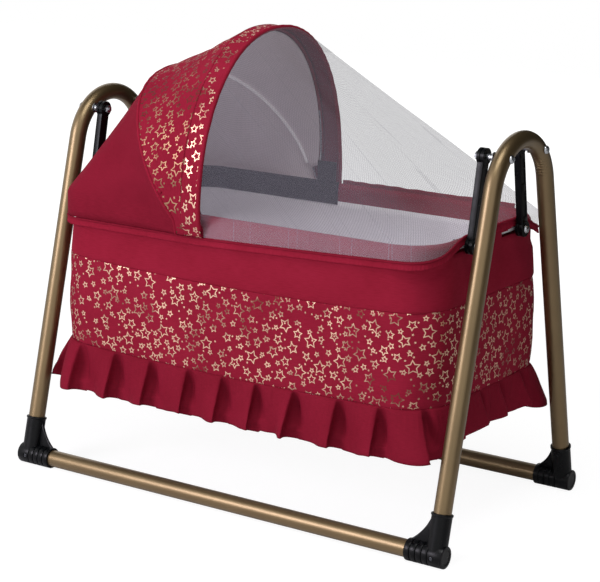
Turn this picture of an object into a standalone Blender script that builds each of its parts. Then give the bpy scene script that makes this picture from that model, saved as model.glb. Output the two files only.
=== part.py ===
"""Baby cradle: a cloth basket hung on four links between two tube end frames, with a net hood.

Metres, +Z up. The origin is on the floor under the middle of the cradle. The hooded head end
is at -X, the foot end at +X, and the basket swings across, along Y.
"""
import math

import bmesh
import bpy
from mathutils import Matrix, Vector

for old in list(bpy.data.objects):
    bpy.data.objects.remove(old, do_unlink=True)

# Clearances
GAP = 0.0003
OVERRUN = 0.004
MERGE = 0.00001
SHARP_EDGE = math.radians(35)
HOLE_STEPS = 8

# Stand: two bent end frames joined by two floor rails, all of one tube
FRAME_OFFSET = 0.037
TUBE_OD = 0.032
TUBE_WALL = 0.0012
TUBE_SIDES = 14
RAIL_SPAN = 0.494
CREST_HEIGHT = 0.7075
BEND_RADIUS = 0.103
BEND_STEPS = 11

# Corner feet, moulded
BARREL_OD = 0.040
SOLE_CUT = 0.0005
BARREL_OUTBOARD = 0.0195
BARREL_INBOARD = 0.0545
BARREL_END_WALL = 0.0035
BARREL_CHAMFER = 0.0015
RING_PITCH = 0.0117
RING_GROOVE = 0.0022
RING_DEPTH = 0.0014
RING_COUNT = 4
SOCKET_OD = 0.0366
SOCKET_TOP = 0.0735
SOCKET_BORE_FLOOR = 0.0257
LIP_OD = 0.0392
LIP_HEIGHT = 0.003
GUSSET_THICK = 0.005
GUSSET_SAG = 0.0055
GUSSET_TUCK = 0.001
GUSSET_STEPS = 5
FOOT_STEPS = 14
SCREW_HEAD_D = 0.0070
SCREW_HEAD_H = 0.0018
SCREW_SHANK_D = 0.0036
SCREW_SEAT_D = 0.0096
SCREW_SEAT_DEPTH = 0.0016
SCREW_REACH = 0.0052

# Hanger links and their bolts
PIVOT_ANGLE = math.radians(40)
LINK_PITCH = 0.1557
LOWER_BOLT_SPAN = 0.190
LINK_OFFSET = 0.022
LINK_WIDTH = 0.022
LINK_THICK = 0.0125
LINK_PANEL_WIDTH = 0.013
LINK_PANEL_DEPTH = 0.0014
LINK_PANEL_MARGIN = 0.019
EYE_OD = 0.030
EYE_THICK = 0.015
EYE_GROOVE = 0.0026
EYE_GROOVE_DEPTH = 0.0014
EYE_STEPS = 12
BOLT_D = 0.008
BOLT_HEAD_D = 0.0155
BOLT_HEAD_H = 0.0048
BOLT_STEPS = 8
BOLT_DOME_SHARES = ((0.5, 0.88), (0.9, 0.45))
BOLT_TIP = 0.002
OPEN_PIVOT_PLAY = 0.0011
NUT_ACROSS = 0.013
NUT_SIDES = 6
NUT_H = 0.0065
SPACER_D = 0.012
SPACER_FLANGE_D = 0.019
SPACER_FLANGE_T = 0.0016

# Basket ring
RING_TUBE_OD = 0.016
RING_TUBE_WALL = 0.0012
RING_TUBE_SIDES = 8
RING_HALF_X = 0.396
RING_HALF_Y = 0.2117
RING_CORNER = 0.080
CORNER_STEPS = 5
SIDE_STEPS = 4
END_STEPS = 2

# Basket cloth
CLOTH = 0.002
COVER_STEPS = 6
FLAP_DROP = 0.040
HEM_DROP = 0.032
BAND_DROP = 0.102
BAND_SAG = 0.013
BAND_OUT_X = 0.018
BAND_OUT_Y = 0.0078
STAR_DROP = 0.273
STAR_SAG = 0.009
SLOT_WIDTH = 0.026
SLOT_HEIGHT = 0.0174
SLOT_DEPTH = 0.034
SKIRT_BOTTOM = 0.163
SKIRT_FLARE_X = 0.0055
SKIRT_FLARE_Y = 0.0115
SKIRT_SWELL = 0.0125
SKIRT_CORNER_FLARE = 0.018
SKIRT_END_RISE = 0.025
SKIRT_RISE_START_X = 0.350
SKIRT_ROW_SHARES = (0, 0.3, 1)
SKIRT_OPEN_POWER = 0.6
SKIRT_FOLD_POWER = 4
SKIRT_PLEATS = 30
PLEAT_STEPS = 5
SKIRT_CLOTH = 0.0012
SKIRT_TOP_CLEAR = 0.0007
FLOOR_CLOTH_LIFT = 0.0045
LINING = 0.0025
LINING_INSET = 0.0095
BOARD_THICK = 0.006
BOARD_PLAY = 0.002
MATTRESS_PLAY = 0.004
MATTRESS_THICK = 0.030
MATTRESS_CROWN = 0.008
MATTRESS_CORNER = 0.060
MATTRESS_SHARES = ((0.985, 0), (1, 0.25), (1, 0.70), (0.97, 1), (0.65, 1))

# Zip piping, the line where the hood and its net join the basket
PIPING_D = 0.0036
PIPING_SIDES = 6
PIPING_SIDE_STEPS = 10
PIPING_END_STEPS = 8
HEM_CLEAR = 0.0012
HEM_END_TUCK = 0.002
HEM_SQUARING = 0.031
HEM_RISE_POWER = 1.2
HEM_FOOT_RISE = 0.018
HEM_RISE_START_X = -0.090
HEM_END_LIFT = 0.015
HEM_LIFT_START_Y = 0.205
HEM_LIFT_FULL_Y = 0.130
SHOULDER_LIFT = 0.016

# Hood bows, which turn on two pins in the ring
HOOD_PIN_X = -0.105
WIRE_D = 0.0044
WIRE_SIDES = 8
REAR_LEAN = math.radians(-34.8)
REAR_BULGE = 0.0468
REAR_HEIGHT = 0.2955
REAR_POWER = 2.29
MIDDLE_LEAN = math.radians(2.4)
MIDDLE_BULGE = 0.0248
MIDDLE_HEIGHT = 0.3300
MIDDLE_POWER = 2.23
FOOT_PULL = 5
ARCH_STEPS = 20
BOW_EYE_D = 0.014
PIN_D = 0.005
PIN_HEAD_D = 0.011
PIN_HEAD_H = 0.0026
PIN_DOME_SHARE = 0.85
FOOT_SHIFT_POWER = 3

# Hood cloth, visor, binding and net
HOOD_CLOTH = 0.0015
HOOD_FOOT_Y = 0.2380
HOOD_HEM_Y = 0.2292
SEAM_CLEAR = 0.0016
SEAM_LIFT = 0.0052
PANEL_SAG = 0.0035
SAG_SPAN = 0.165
LINING_FOOT_Y = 0.2110
LINING_SPREAD_Y = 0.2180
LINING_FOOT_LIFT = 0.018
REAR_SEAM_PAD = -0.012
MIDDLE_SEAM_PAD = 0.004
REAR_HEM_X = -0.118
MIDDLE_HEM_X = -0.098
FRONT_HEM_X = -0.060
FRONT_FOOT_SHIFT = 0.043
FRONT_TOP_SHIFT = 0.037
BINDING_D = 0.0075
NET_CLOTH = 0.001
NET_SPREAD_POWER = 1.6
REAR_SPREAD_POWER = 1.3
NET_SIDE_STEPS = 8
REAR_SIDE_STEPS = 5
REAR_RISE_STEPS = 3
PANEL_RISE_STEPS = 4
VISOR_RISE_STEPS = 2
NET_RISE_STEPS = 3

# Worked out from the sizes above
rail_z = BARREL_OD / 2 - SOLE_CUT
bend_z = CREST_HEIGHT - BEND_RADIUS
reach = math.hypot(RAIL_SPAN / 2, bend_z - rail_z)
splay = math.atan2(RAIL_SPAN / 2, bend_z - rail_z) - math.asin(BEND_RADIUS / reach)
bore_r = TUBE_OD / 2 + GAP
link_plane = RING_HALF_X + LINK_OFFSET
frame_x = link_plane + FRAME_OFFSET
rail_end = frame_x + BARREL_OUTBOARD - BARREL_END_WALL - GAP
top_pivot_y = BEND_RADIUS * math.sin(PIVOT_ANGLE)
top_pivot_z = bend_z + BEND_RADIUS * math.cos(PIVOT_ANGLE)
low_pivot_y = LOWER_BOLT_SPAN / 2
link_splay = math.asin((low_pivot_y - top_pivot_y) / LINK_PITCH)
ring_z = top_pivot_z - LINK_PITCH * math.cos(link_splay)
bolt_hole_r = BOLT_D / 2 + GAP
cover_r = (RING_TUBE_OD / 2 + GAP + CLOTH / 2) / math.cos(math.pi / COVER_STEPS / 2)
hem_offset = cover_r + CLOTH / 2 + GAP + PIPING_D / 2
hem_half_x = RING_HALF_X + hem_offset
hem_half_y = RING_HALF_Y + hem_offset
hem_corner = RING_CORNER + hem_offset - HEM_SQUARING
hem_z = ring_z - HEM_DROP
hood_pin = Vector((HOOD_PIN_X, 0, ring_z))
lining_lift = WIRE_D / 2 + GAP + NET_CLOTH / 2
cover_face_y = RING_HALF_Y + cover_r + CLOTH / 2
band_half_x = RING_HALF_X + BAND_OUT_X
band_half_y = RING_HALF_Y + BAND_OUT_Y
middle_eye_y = cover_face_y + GAP + WIRE_D / 2
rear_eye_y = middle_eye_y + WIRE_D + GAP
pin_seat_y = rear_eye_y + WIRE_D / 2 + GAP
rear_half_width = RING_HALF_Y + REAR_BULGE
middle_half_width = RING_HALF_Y + MIDDLE_BULGE


# Collections and empties that carry the moving pieces
def new_collection(name):
    collection = bpy.data.collections.new(name)
    bpy.context.scene.collection.children.link(collection)
    return collection


parts = new_collection("baby_cradle")
tools = new_collection("cutters")


def hinge_empty(name, place):
    empty = bpy.data.objects.new(name, None)
    empty.location = place
    parts.objects.link(empty)
    return empty


basket_hinge = hinge_empty("basket_hinge", (0, -low_pivot_y, ring_z))
hood_hinge = hinge_empty("hood_hinge", hood_pin)


# Materials
def material(name, colour, roughness, metallic=0.0):
    made = bpy.data.materials.new(name)
    made.use_nodes = True
    shader = made.node_tree.nodes["Principled BSDF"]
    shader.inputs["Base Color"].default_value = (*colour, 1.0)
    shader.inputs["Roughness"].default_value = roughness
    shader.inputs["Metallic"].default_value = metallic
    return made


GOLD_PAINT = material("gold_powder_coat", (0.42, 0.29, 0.11), 0.35, 0.7)
BLACK_PLASTIC = material("black_plastic", (0.010, 0.011, 0.013), 0.45)
ZINC = material("zinc_plate", (0.55, 0.56, 0.58), 0.35, 1.0)
MAROON_CLOTH = material("maroon_cloth", (0.28, 0.015, 0.035), 0.85)
STAR_CLOTH = material("star_print_cloth", (0.30, 0.03, 0.04), 0.7)
WHITE_CLOTH = material("white_lining_cloth", (0.62, 0.62, 0.65), 0.9)
NET_CLOTH_WHITE = material("white_net", (0.75, 0.76, 0.76), 0.9)
BOARD = material("hardboard", (0.35, 0.22, 0.12), 0.8)


# Modelling helpers
def finish(piece, name, look, place=(0, 0, 0), parent=None, smooth=False):
    """Give a piece its node name, material, place and parent."""
    piece.name = name
    piece.data.name = name
    piece.data.materials.clear()
    piece.data.materials.append(look)
    if smooth:
        piece.data.shade_smooth()
        piece.data.set_sharp_from_angle(angle=SHARP_EDGE)
    piece.location = Vector(place) - (parent.location if parent else Vector())
    piece.parent = parent
    return piece


def mesh_object(name, mesh, collection=parts):
    piece = bpy.data.objects.new(name, mesh)
    collection.objects.link(piece)
    return piece


def baked(piece):
    """Replace an object by its evaluated mesh, with its own transform taken in."""
    bpy.context.view_layer.update()
    graph = bpy.context.evaluated_depsgraph_get()
    mesh = bpy.data.meshes.new_from_object(piece.evaluated_get(graph))
    mesh.transform(piece.matrix_world)
    work = bmesh.new()
    work.from_mesh(mesh)
    bmesh.ops.remove_doubles(work, verts=work.verts, dist=MERGE)
    work.to_mesh(mesh)
    work.free()
    name = piece.name
    bpy.data.objects.remove(piece, do_unlink=True)
    return mesh_object(name, mesh)


def path_curve(name, points, radius, sides, closed=False, caps=True):
    """A tube or wire swept along straight steps between points."""
    curve = bpy.data.curves.new(name, "CURVE")
    curve.dimensions = "3D"
    curve.bevel_depth = radius
    curve.bevel_resolution = sides // 2 - 2
    curve.use_fill_caps = caps and not closed
    line = curve.splines.new("POLY")
    line.points.add(len(points) - 1)
    for spot, point in zip(line.points, points):
        spot.co = (*point, 1)
    line.use_cyclic_u = closed
    piece = bpy.data.objects.new(name, curve)
    parts.objects.link(piece)
    return baked(piece)


def hollow(piece, wall):
    """Turn an open tube surface into a tube wall, inwards from its outside."""
    shell = piece.modifiers.new("wall", "SOLIDIFY")
    shell.thickness = wall
    shell.offset = -1
    shell.use_even_offset = True
    return piece


def turned(name, profile, steps, ring=False):
    """Spin a profile of (radius, height) points, listed down its outer side, about Z."""
    mesh = bpy.data.meshes.new(name)
    count = len(profile)
    edges = [(k, k + 1) for k in range(count - 1)]
    if ring:
        edges.append((count - 1, 0))
    mesh.from_pydata([(radius, 0, height) for radius, height in profile], edges, [])
    piece = mesh_object(name, mesh)
    screw = piece.modifiers.new("turn", "SCREW")
    screw.axis = "Z"
    screw.steps = steps
    screw.render_steps = steps
    screw.use_merge_vertices = True
    screw.merge_threshold = MERGE
    return baked(piece)


def plate(name, outline, thickness):
    """A flat outline in XY with a thickness centred on its plane."""
    curve = bpy.data.curves.new(name, "CURVE")
    curve.dimensions = "2D"
    curve.fill_mode = "BOTH"
    curve.extrude = thickness / 2
    line = curve.splines.new("POLY")
    line.points.add(len(outline) - 1)
    for spot, point in zip(line.points, outline):
        spot.co = (point[0], point[1], 0, 1)
    line.use_cyclic_u = True
    piece = bpy.data.objects.new(name, curve)
    parts.objects.link(piece)
    return baked(piece)


def rod(name, radius, start, end, sides):
    """A plain cylinder between two points."""
    start, end = Vector(start), Vector(end)
    work = bmesh.new()
    bmesh.ops.create_cone(work, cap_ends=True, segments=sides, radius1=radius, radius2=radius,
                          depth=(end - start).length)
    mesh = bpy.data.meshes.new(name)
    turn = (end - start).to_track_quat("Z", "Y").to_matrix().to_4x4()
    work.transform(Matrix.Translation((start + end) / 2) @ turn)
    work.to_mesh(mesh)
    work.free()
    return mesh_object(name, mesh)


def bore(name, radius, start, end, sides):
    """A cutter whose flats clear a round of the given radius."""
    return rod(name, radius / math.cos(math.pi / sides), start, end, sides)


def block(name, size, centre):
    work = bmesh.new()
    bmesh.ops.create_cube(work, size=1)
    work.transform(Matrix.Translation(centre) @ Matrix.Diagonal((*size, 1)))
    mesh = bpy.data.meshes.new(name)
    work.to_mesh(mesh)
    work.free()
    return mesh_object(name, mesh)


def combine(piece, tool, operation):
    """Add a Boolean to a piece; the tool moves to the cutters."""
    parts.objects.unlink(tool)
    tools.objects.link(tool)
    tool.name = piece.name + "_cutter"
    tool.hide_render = True
    tool.display_type = "WIRE"
    boolean = piece.modifiers.new(operation.lower(), "BOOLEAN")
    boolean.operation = operation
    boolean.solver = "EXACT"
    boolean.object = tool
    return piece


def moulded(piece, added, cut):
    """Union some shapes with a piece, cut others away, and keep only the result."""
    for tool in added:
        combine(piece, tool, "UNION")
    for tool in cut:
        combine(piece, tool, "DIFFERENCE")
    result = baked(piece)
    for tool in list(tools.objects):
        bpy.data.objects.remove(tool, do_unlink=True)
    return result


def mirrored(piece, axis, name):
    """A handed copy of a piece, mirrored across its own origin."""
    mesh = piece.data.copy()
    flip = Matrix.Scale(-1, 4, axis)
    mesh.transform(flip)
    mesh.flip_normals()
    return mesh_object(name, mesh)


def skin(name, rows, thickness, closed=False):
    """A sheet through rows of points, thickened evenly to both sides."""
    count = len(rows[0])
    points = [tuple(point) for row in rows for point in row]
    faces = []
    for r in range(len(rows) - 1):
        for c in range(count if closed else count - 1):
            d = (c + 1) % count
            faces.append((r * count + c, r * count + d, (r + 1) * count + d, (r + 1) * count + c))
    mesh = bpy.data.meshes.new(name)
    mesh.from_pydata(points, [], faces)
    piece = mesh_object(name, mesh)
    shell = piece.modifiers.new("cloth", "SOLIDIFY")
    shell.thickness = thickness
    shell.offset = 0
    return piece


def hump(share):
    """Nothing at both ends of a span and one in its middle."""
    return 4 * share * (1 - share)


def smoothstep(value):
    value = min(max(value, 0.0), 1.0)
    return value * value * (3 - 2 * value)


# Rounded outlines in plan
def rounded(half_x, half_y, corner, side_steps=SIDE_STEPS, end_steps=END_STEPS):
    """Points round a rounded rectangle, anticlockwise, with evenly cut corners and sides."""
    points = []
    centres = ((1, -1, -90), (1, 1, 0), (-1, 1, 90), (-1, -1, 180))
    for k, (sx, sy, start) in enumerate(centres):
        cx, cy = sx * (half_x - corner), sy * (half_y - corner)
        for step in range(CORNER_STEPS + 1):
            angle = math.radians(start + 90 * step / CORNER_STEPS)
            points.append((cx + corner * math.cos(angle), cy + corner * math.sin(angle)))
        steps = end_steps if k % 2 == 0 else side_steps
        nx, ny, nstart = centres[(k + 1) % 4]
        turn = math.radians(nstart)
        goal = (nx * (half_x - corner) + corner * math.cos(turn),
                ny * (half_y - corner) + corner * math.sin(turn))
        last = points[-1]
        for step in range(1, steps):
            share = step / steps
            points.append((last[0] + (goal[0] - last[0]) * share,
                           last[1] + (goal[1] - last[1]) * share))
    return points


def round_length(half_x, half_y, corner):
    return 4 * (half_x + half_y - 2 * corner) + 2 * math.pi * corner


def round_point(half_x, half_y, corner, distance):
    """Point and outward direction at a distance round the outline from the foot end's middle."""
    total = round_length(half_x, half_y, corner)
    side = 1 if (distance % total) <= total / 2 else -1
    along = min(distance % total, total - distance % total)
    flat_y = half_y - corner
    flat_x = 2 * (half_x - corner)
    bend = math.pi * corner / 2
    if along <= flat_y:
        x, y, nx, ny = half_x, along, 1, 0
    elif along <= flat_y + bend:
        angle = (along - flat_y) / corner
        nx, ny = math.cos(angle), math.sin(angle)
        x, y = half_x - corner + corner * nx, flat_y + corner * ny
    elif along <= flat_y + bend + flat_x:
        x, y, nx, ny = half_x - corner - (along - flat_y - bend), half_y, 0, 1
    elif along <= flat_y + 2 * bend + flat_x:
        angle = math.pi / 2 + (along - flat_y - bend - flat_x) / corner
        nx, ny = math.cos(angle), math.sin(angle)
        x, y = -(half_x - corner) + corner * nx, flat_y + corner * ny
    else:
        x, y, nx, ny = -half_x, total / 2 - along, -1, 0
    return x, side * y, nx, side * ny


# Stand: end frames and floor rails
def leg_point(distance, side=-1):
    """A point in YZ up a leg's axis from the rail; side -1 is the front leg."""
    return Vector((0, side * (RAIL_SPAN / 2 - distance * math.sin(splay)),
                   rail_z + distance * math.cos(splay)))


def end_frame_path():
    points = [leg_point(SOCKET_BORE_FLOOR + GAP)]
    for step in range(BEND_STEPS + 1):
        angle = math.pi - splay - (math.pi - 2 * splay) * step / BEND_STEPS
        points.append(Vector((0, BEND_RADIUS * math.cos(angle),
                              bend_z + BEND_RADIUS * math.sin(angle))))
    points.append(leg_point(SOCKET_BORE_FLOOR + GAP, 1))
    return points


def end_frames():
    for side, label in ((-1, "left"), (1, "right")):
        frame = path_curve("frame", end_frame_path(), TUBE_OD / 2, TUBE_SIDES, caps=False)
        hollow(frame, TUBE_WALL)
        far = TUBE_OD / 2 + OVERRUN
        holes = [bore("hole", bolt_hole_r, (-far, y, top_pivot_z), (far, y, top_pivot_z), BOLT_STEPS)
                 for y in (-top_pivot_y, top_pivot_y)]
        finish(moulded(frame, [], holes), "end_frame_" + label, GOLD_PAINT,
               (side * frame_x, 0, 0), smooth=True)


def floor_rails():
    for side, label in ((-1, "front"), (1, "back")):
        ends = [Vector((-rail_end, 0, 0)), Vector((rail_end, 0, 0))]
        rail = hollow(path_curve("rail", ends, TUBE_OD / 2, TUBE_SIDES, caps=False), TUBE_WALL)
        holes = []
        for x in (-frame_x, frame_x):
            outer = side * (TUBE_OD / 2 + OVERRUN)
            holes.append(bore("hole", SCREW_SHANK_D / 2 + GAP, (x, 0, 0), (x, outer, 0),
                              HOLE_STEPS))
        finish(moulded(rail, [], holes), "floor_rail_" + label, GOLD_PAINT,
               (0, side * RAIL_SPAN / 2, rail_z), smooth=True)


# Corner feet: a grooved barrel on the rail, a socket for the leg and a gusset between them
def barrel_profile():
    r = BARREL_OD / 2
    top = BARREL_OUTBOARD
    low = -BARREL_INBOARD
    points = [(0, top), (r - BARREL_CHAMFER, top), (r, top - BARREL_CHAMFER)]
    for k in range(RING_COUNT, 0, -1):
        groove = low + k * RING_PITCH
        points += [(r, groove + RING_GROOVE / 2), (r - RING_DEPTH, groove),
                   (r, groove - RING_GROOVE / 2)]
    return points + [(r, low + BARREL_CHAMFER), (r - BARREL_CHAMFER, low), (0, low)]


def gusset_outline():
    """Concave web in the plane of the rail and the leg, from the lip to the barrel's end."""
    low = Vector((-BARREL_INBOARD + BARREL_CHAMFER, BARREL_OD / 2 - RING_DEPTH))
    high = Vector((-SOCKET_OD / 2 + GUSSET_TUCK, SOCKET_TOP - LIP_HEIGHT / 2))
    chord = high - low
    inward = Vector((chord.y, -chord.x)).normalized()
    points = []
    for step in range(GUSSET_STEPS + 1):
        t = step / GUSSET_STEPS
        points.append(low + chord * t + inward * GUSSET_SAG * hump(t))
    points.append(Vector((-TUBE_OD / 4, high.y)))
    points.append(Vector((-TUBE_OD / 4, TUBE_OD / 4)))
    points.append(Vector((low.x, TUBE_OD / 4)))
    return points


def corner_foot():
    """The foot at the front right corner, about the point where rail and leg axes meet."""
    lean = Matrix.Rotation(-splay, 4, "X")
    barrel = turned("barrel", barrel_profile(), FOOT_STEPS)
    barrel.data.transform(Matrix.Rotation(math.pi / 2, 4, "Y"))
    socket = turned("socket", [(0, SOCKET_TOP), (LIP_OD / 2, SOCKET_TOP),
                               (LIP_OD / 2, SOCKET_TOP - LIP_HEIGHT),
                               (SOCKET_OD / 2, SOCKET_TOP - LIP_HEIGHT),
                               (SOCKET_OD / 2, 0), (0, 0)], FOOT_STEPS)
    socket.data.transform(lean)
    gusset = plate("gusset", gusset_outline(), GUSSET_THICK)
    gusset.data.transform(Matrix.Rotation(math.pi / 2 - splay, 4, "X"))
    rail_bore = bore("rail_bore", bore_r, (-BARREL_INBOARD - OVERRUN, 0, 0),
                    (BARREL_OUTBOARD - BARREL_END_WALL, 0, 0), FOOT_STEPS)
    leg_bore = bore("leg_bore", bore_r, lean @ Vector((0, 0, SOCKET_BORE_FLOOR)),
                   lean @ Vector((0, 0, SOCKET_TOP + OVERRUN)), FOOT_STEPS)
    sole = block("sole", (4 * BARREL_INBOARD, BARREL_OD, OVERRUN), (0, 0, -rail_z - OVERRUN / 2))
    seat_y = -(BARREL_OD / 2 - SCREW_SEAT_DEPTH)
    seat = bore("seat", SCREW_SEAT_D / 2, (0, seat_y, 0), (0, -BARREL_OD, 0), BOLT_STEPS)
    pilot = bore("pilot", SCREW_SHANK_D / 2 + GAP, (0, 0, 0), (0, seat_y - OVERRUN, 0), HOLE_STEPS)
    return moulded(barrel, [socket, gusset], [rail_bore, leg_bore, sole, seat, pilot])


def feet():
    right_front = corner_foot()
    right_back = mirrored(right_front, Vector((0, 1, 0)), "foot")
    half_turn = Matrix.Rotation(math.pi, 4, "Z")
    for source, label, x, y in ((right_front, "front_right", 1, -1), (right_back, "back_right", 1, 1),
                                (right_back, "front_left", -1, -1), (right_front, "back_left", -1, 1)):
        foot = mesh_object("foot", source.data.copy())
        if x < 0:
            foot.data.transform(half_turn)
        finish(foot, "foot_" + label, BLACK_PLASTIC, (x * frame_x, y * RAIL_SPAN / 2, rail_z),
               smooth=True)
        screw = turned("screw", [(0, SCREW_HEAD_H), (SCREW_HEAD_D / 3, SCREW_HEAD_H),
                                 (SCREW_HEAD_D / 2, SCREW_HEAD_H / 3), (SCREW_HEAD_D / 2, 0),
                                 (SCREW_SHANK_D / 2, 0), (SCREW_SHANK_D / 2, -SCREW_REACH),
                                 (0, -SCREW_REACH)], HOLE_STEPS)
        screw.data.transform(Matrix.Rotation(-y * math.pi / 2, 4, "X"))
        seat = RAIL_SPAN / 2 + BARREL_OD / 2 - SCREW_SEAT_DEPTH + GAP
        finish(screw, "foot_screw_" + label, ZINC, (x * frame_x, y * seat, rail_z), smooth=True)
    bpy.data.objects.remove(right_front, do_unlink=True)
    bpy.data.objects.remove(right_back, do_unlink=True)


# Hanger links: grooved eyes joined by a recessed bar
def hanger_link(lower_hole_r):
    """A link hanging down Z from its upper eye at the origin, thin along X."""
    flat = Matrix.Rotation(math.pi / 2, 4, "Y")
    bar = block("bar", (LINK_THICK, LINK_WIDTH, LINK_PITCH), (0, 0, -LINK_PITCH / 2))
    half, groove = EYE_THICK / 2, EYE_GROOVE / 2
    r = EYE_OD / 2
    profile = [(0, half), (r, half), (r, groove), (r - EYE_GROOVE_DEPTH, 0), (r, -groove),
               (r, -half), (0, -half)]
    eyes, cuts = [], []
    for depth, hole_r in ((0, bolt_hole_r), (LINK_PITCH, lower_hole_r)):
        eye = turned("eye", profile, EYE_STEPS)
        eye.data.transform(Matrix.Translation((0, 0, -depth)) @ flat)
        eyes.append(eye)
        far = half + OVERRUN
        cuts.append(bore("hole", hole_r, (-far, 0, -depth), (far, 0, -depth), BOLT_STEPS))
    for side in (-1, 1):
        cuts.append(block("panel", (2 * LINK_PANEL_DEPTH, LINK_PANEL_WIDTH,
                                    LINK_PITCH - 2 * LINK_PANEL_MARGIN),
                          (side * LINK_THICK / 2, 0, -LINK_PITCH / 2)))
    return moulded(bar, eyes, cuts)


def bolt_head():
    r = BOLT_HEAD_D / 2
    dome = [(r * out, BOLT_HEAD_H * up) for out, up in BOLT_DOME_SHARES]
    return [(0, BOLT_HEAD_H)] + dome + [(r, 0)]


def bolt(name, length, place, side, parent=None):
    """A dome-headed bolt whose head faces away from the middle of the cradle."""
    shank = BOLT_D / 2
    piece = turned("bolt", bolt_head() + [(shank, 0), (shank, -length), (0, -length)], BOLT_STEPS)
    piece.data.transform(Matrix.Rotation(side * math.pi / 2, 4, "Y"))
    return finish(piece, name, ZINC, place, parent, smooth=True)


def nut(name, place, side, parent=None):
    """A hexagon nut, its face at the given place and its body towards the cradle's middle."""
    piece = rod("nut", NUT_ACROSS / math.sqrt(3), (0, 0, 0), (-side * NUT_H, 0, 0), NUT_SIDES)
    far = NUT_H + OVERRUN
    hole = bore("hole", bolt_hole_r, (-far, 0, 0), (far, 0, 0), BOLT_STEPS)
    return finish(moulded(piece, [], [hole]), name, ZINC, place, parent)


def hangers():
    outer = link_plane + EYE_THICK / 2
    inner = link_plane - EYE_THICK / 2
    tube_inner = frame_x - TUBE_OD / 2
    tube_outer = frame_x + TUBE_OD / 2
    for row, y in (("front", -1), ("back", 1)):
        play = OPEN_PIVOT_PLAY if row == "back" else 0
        for label, x in (("left", -1), ("right", 1)):
            end = row + "_" + label
            link = hanger_link(bolt_hole_r + play)
            link.data.transform(Matrix.Rotation(y * link_splay, 4, "X"))
            finish(link, "hanger_" + end, BLACK_PLASTIC,
                   (x * link_plane, y * top_pivot_y, top_pivot_z), smooth=True)
            pivot = (y * top_pivot_y, top_pivot_z)
            head = tube_outer + GAP
            bolt("upper_bolt_" + end, head - (inner - NUT_H - BOLT_TIP), (x * head, *pivot), x)
            nut("upper_nut_" + end, (x * (inner - GAP), *pivot), x)
            room = tube_inner - outer - 2 * GAP
            spacer = turned("spacer", [(SPACER_FLANGE_D / 2, room / 2),
                                       (SPACER_FLANGE_D / 2, room / 2 - SPACER_FLANGE_T),
                                       (SPACER_D / 2, room / 2 - SPACER_FLANGE_T),
                                       (SPACER_D / 2, -room / 2), (bolt_hole_r, -room / 2),
                                       (bolt_hole_r, room / 2)], BOLT_STEPS, ring=True)
            spacer.data.transform(Matrix.Rotation(x * math.pi / 2, 4, "Y"))
            finish(spacer, "spacer_" + end, ZINC, (x * (tube_inner + outer) / 2, *pivot), smooth=True)
            low = (y * low_pivot_y, ring_z)
            head = outer + GAP
            tube_in = RING_HALF_X - RING_TUBE_OD / 2 - GAP
            bolt("lower_bolt_" + end, head - (tube_in - NUT_H - BOLT_TIP / 2), (x * head, *low), x,
                 basket_hinge)
            nut("lower_nut_" + end, (x * tube_in, *low), x, basket_hinge)


# Basket: ring, cloth walls, floor, board and mattress
def bolt_places():
    return [(x, y) for x in (-1, 1) for y in (-1, 1)]


def ring_tube():
    outline = [Vector((x, y, 0)) for x, y in rounded(RING_HALF_X, RING_HALF_Y, RING_CORNER, 1, 1)]
    ring = path_curve("ring", outline, RING_TUBE_OD / 2, RING_TUBE_SIDES, closed=True)
    hollow(ring, RING_TUBE_WALL)
    cuts = []
    for x, y in bolt_places():
        inner = x * (RING_HALF_X - RING_TUBE_OD / 2 - OVERRUN)
        outer = x * (RING_HALF_X + RING_TUBE_OD / 2 + OVERRUN)
        cuts.append(bore("hole", bolt_hole_r, (inner, y * low_pivot_y, 0),
                        (outer, y * low_pivot_y, 0), BOLT_STEPS))
    for side in (-1, 1):
        far = side * (RING_HALF_Y + RING_TUBE_OD / 2 + OVERRUN)
        cuts.append(bore("hole", PIN_D / 2 + GAP, (HOOD_PIN_X, side * RING_HALF_Y, 0),
                        (HOOD_PIN_X, far, 0), HOLE_STEPS))
    finish(moulded(ring, [], cuts), "basket_ring", ZINC, (0, 0, ring_z), basket_hinge, smooth=True)


def sagging(points, drop, sag, half_x):
    """A row of cloth points at a drop below the ring, lower towards the middle of the sides."""
    return [Vector((x, y, ring_z - drop - sag * (1 - min(1, abs(x) / half_x) ** 2)))
            for x, y in points]


def cover_rows():
    """Over the ring from the inner flap's edge to the upper seam."""
    rows = []
    inside = rounded(RING_HALF_X - cover_r, RING_HALF_Y - cover_r, RING_CORNER - cover_r)
    rows.append([Vector((x, y, ring_z - FLAP_DROP)) for x, y in inside])
    for step in range(COVER_STEPS + 1):
        angle = math.pi * (1 - step / COVER_STEPS)
        out, up = cover_r * math.cos(angle), cover_r * math.sin(angle)
        row = rounded(RING_HALF_X + out, RING_HALF_Y + out, RING_CORNER + out)
        rows.append([Vector((x, y, ring_z + up)) for x, y in row])
    outside = rounded(RING_HALF_X + cover_r, RING_HALF_Y + cover_r, RING_CORNER + cover_r)
    rows.append([Vector((x, y, hem_z - PIPING_D)) for x, y in outside])
    band = rounded(band_half_x, band_half_y, RING_CORNER)
    rows.append(sagging(band, BAND_DROP - GAP / 2, BAND_SAG, band_half_x))
    return rows


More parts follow.
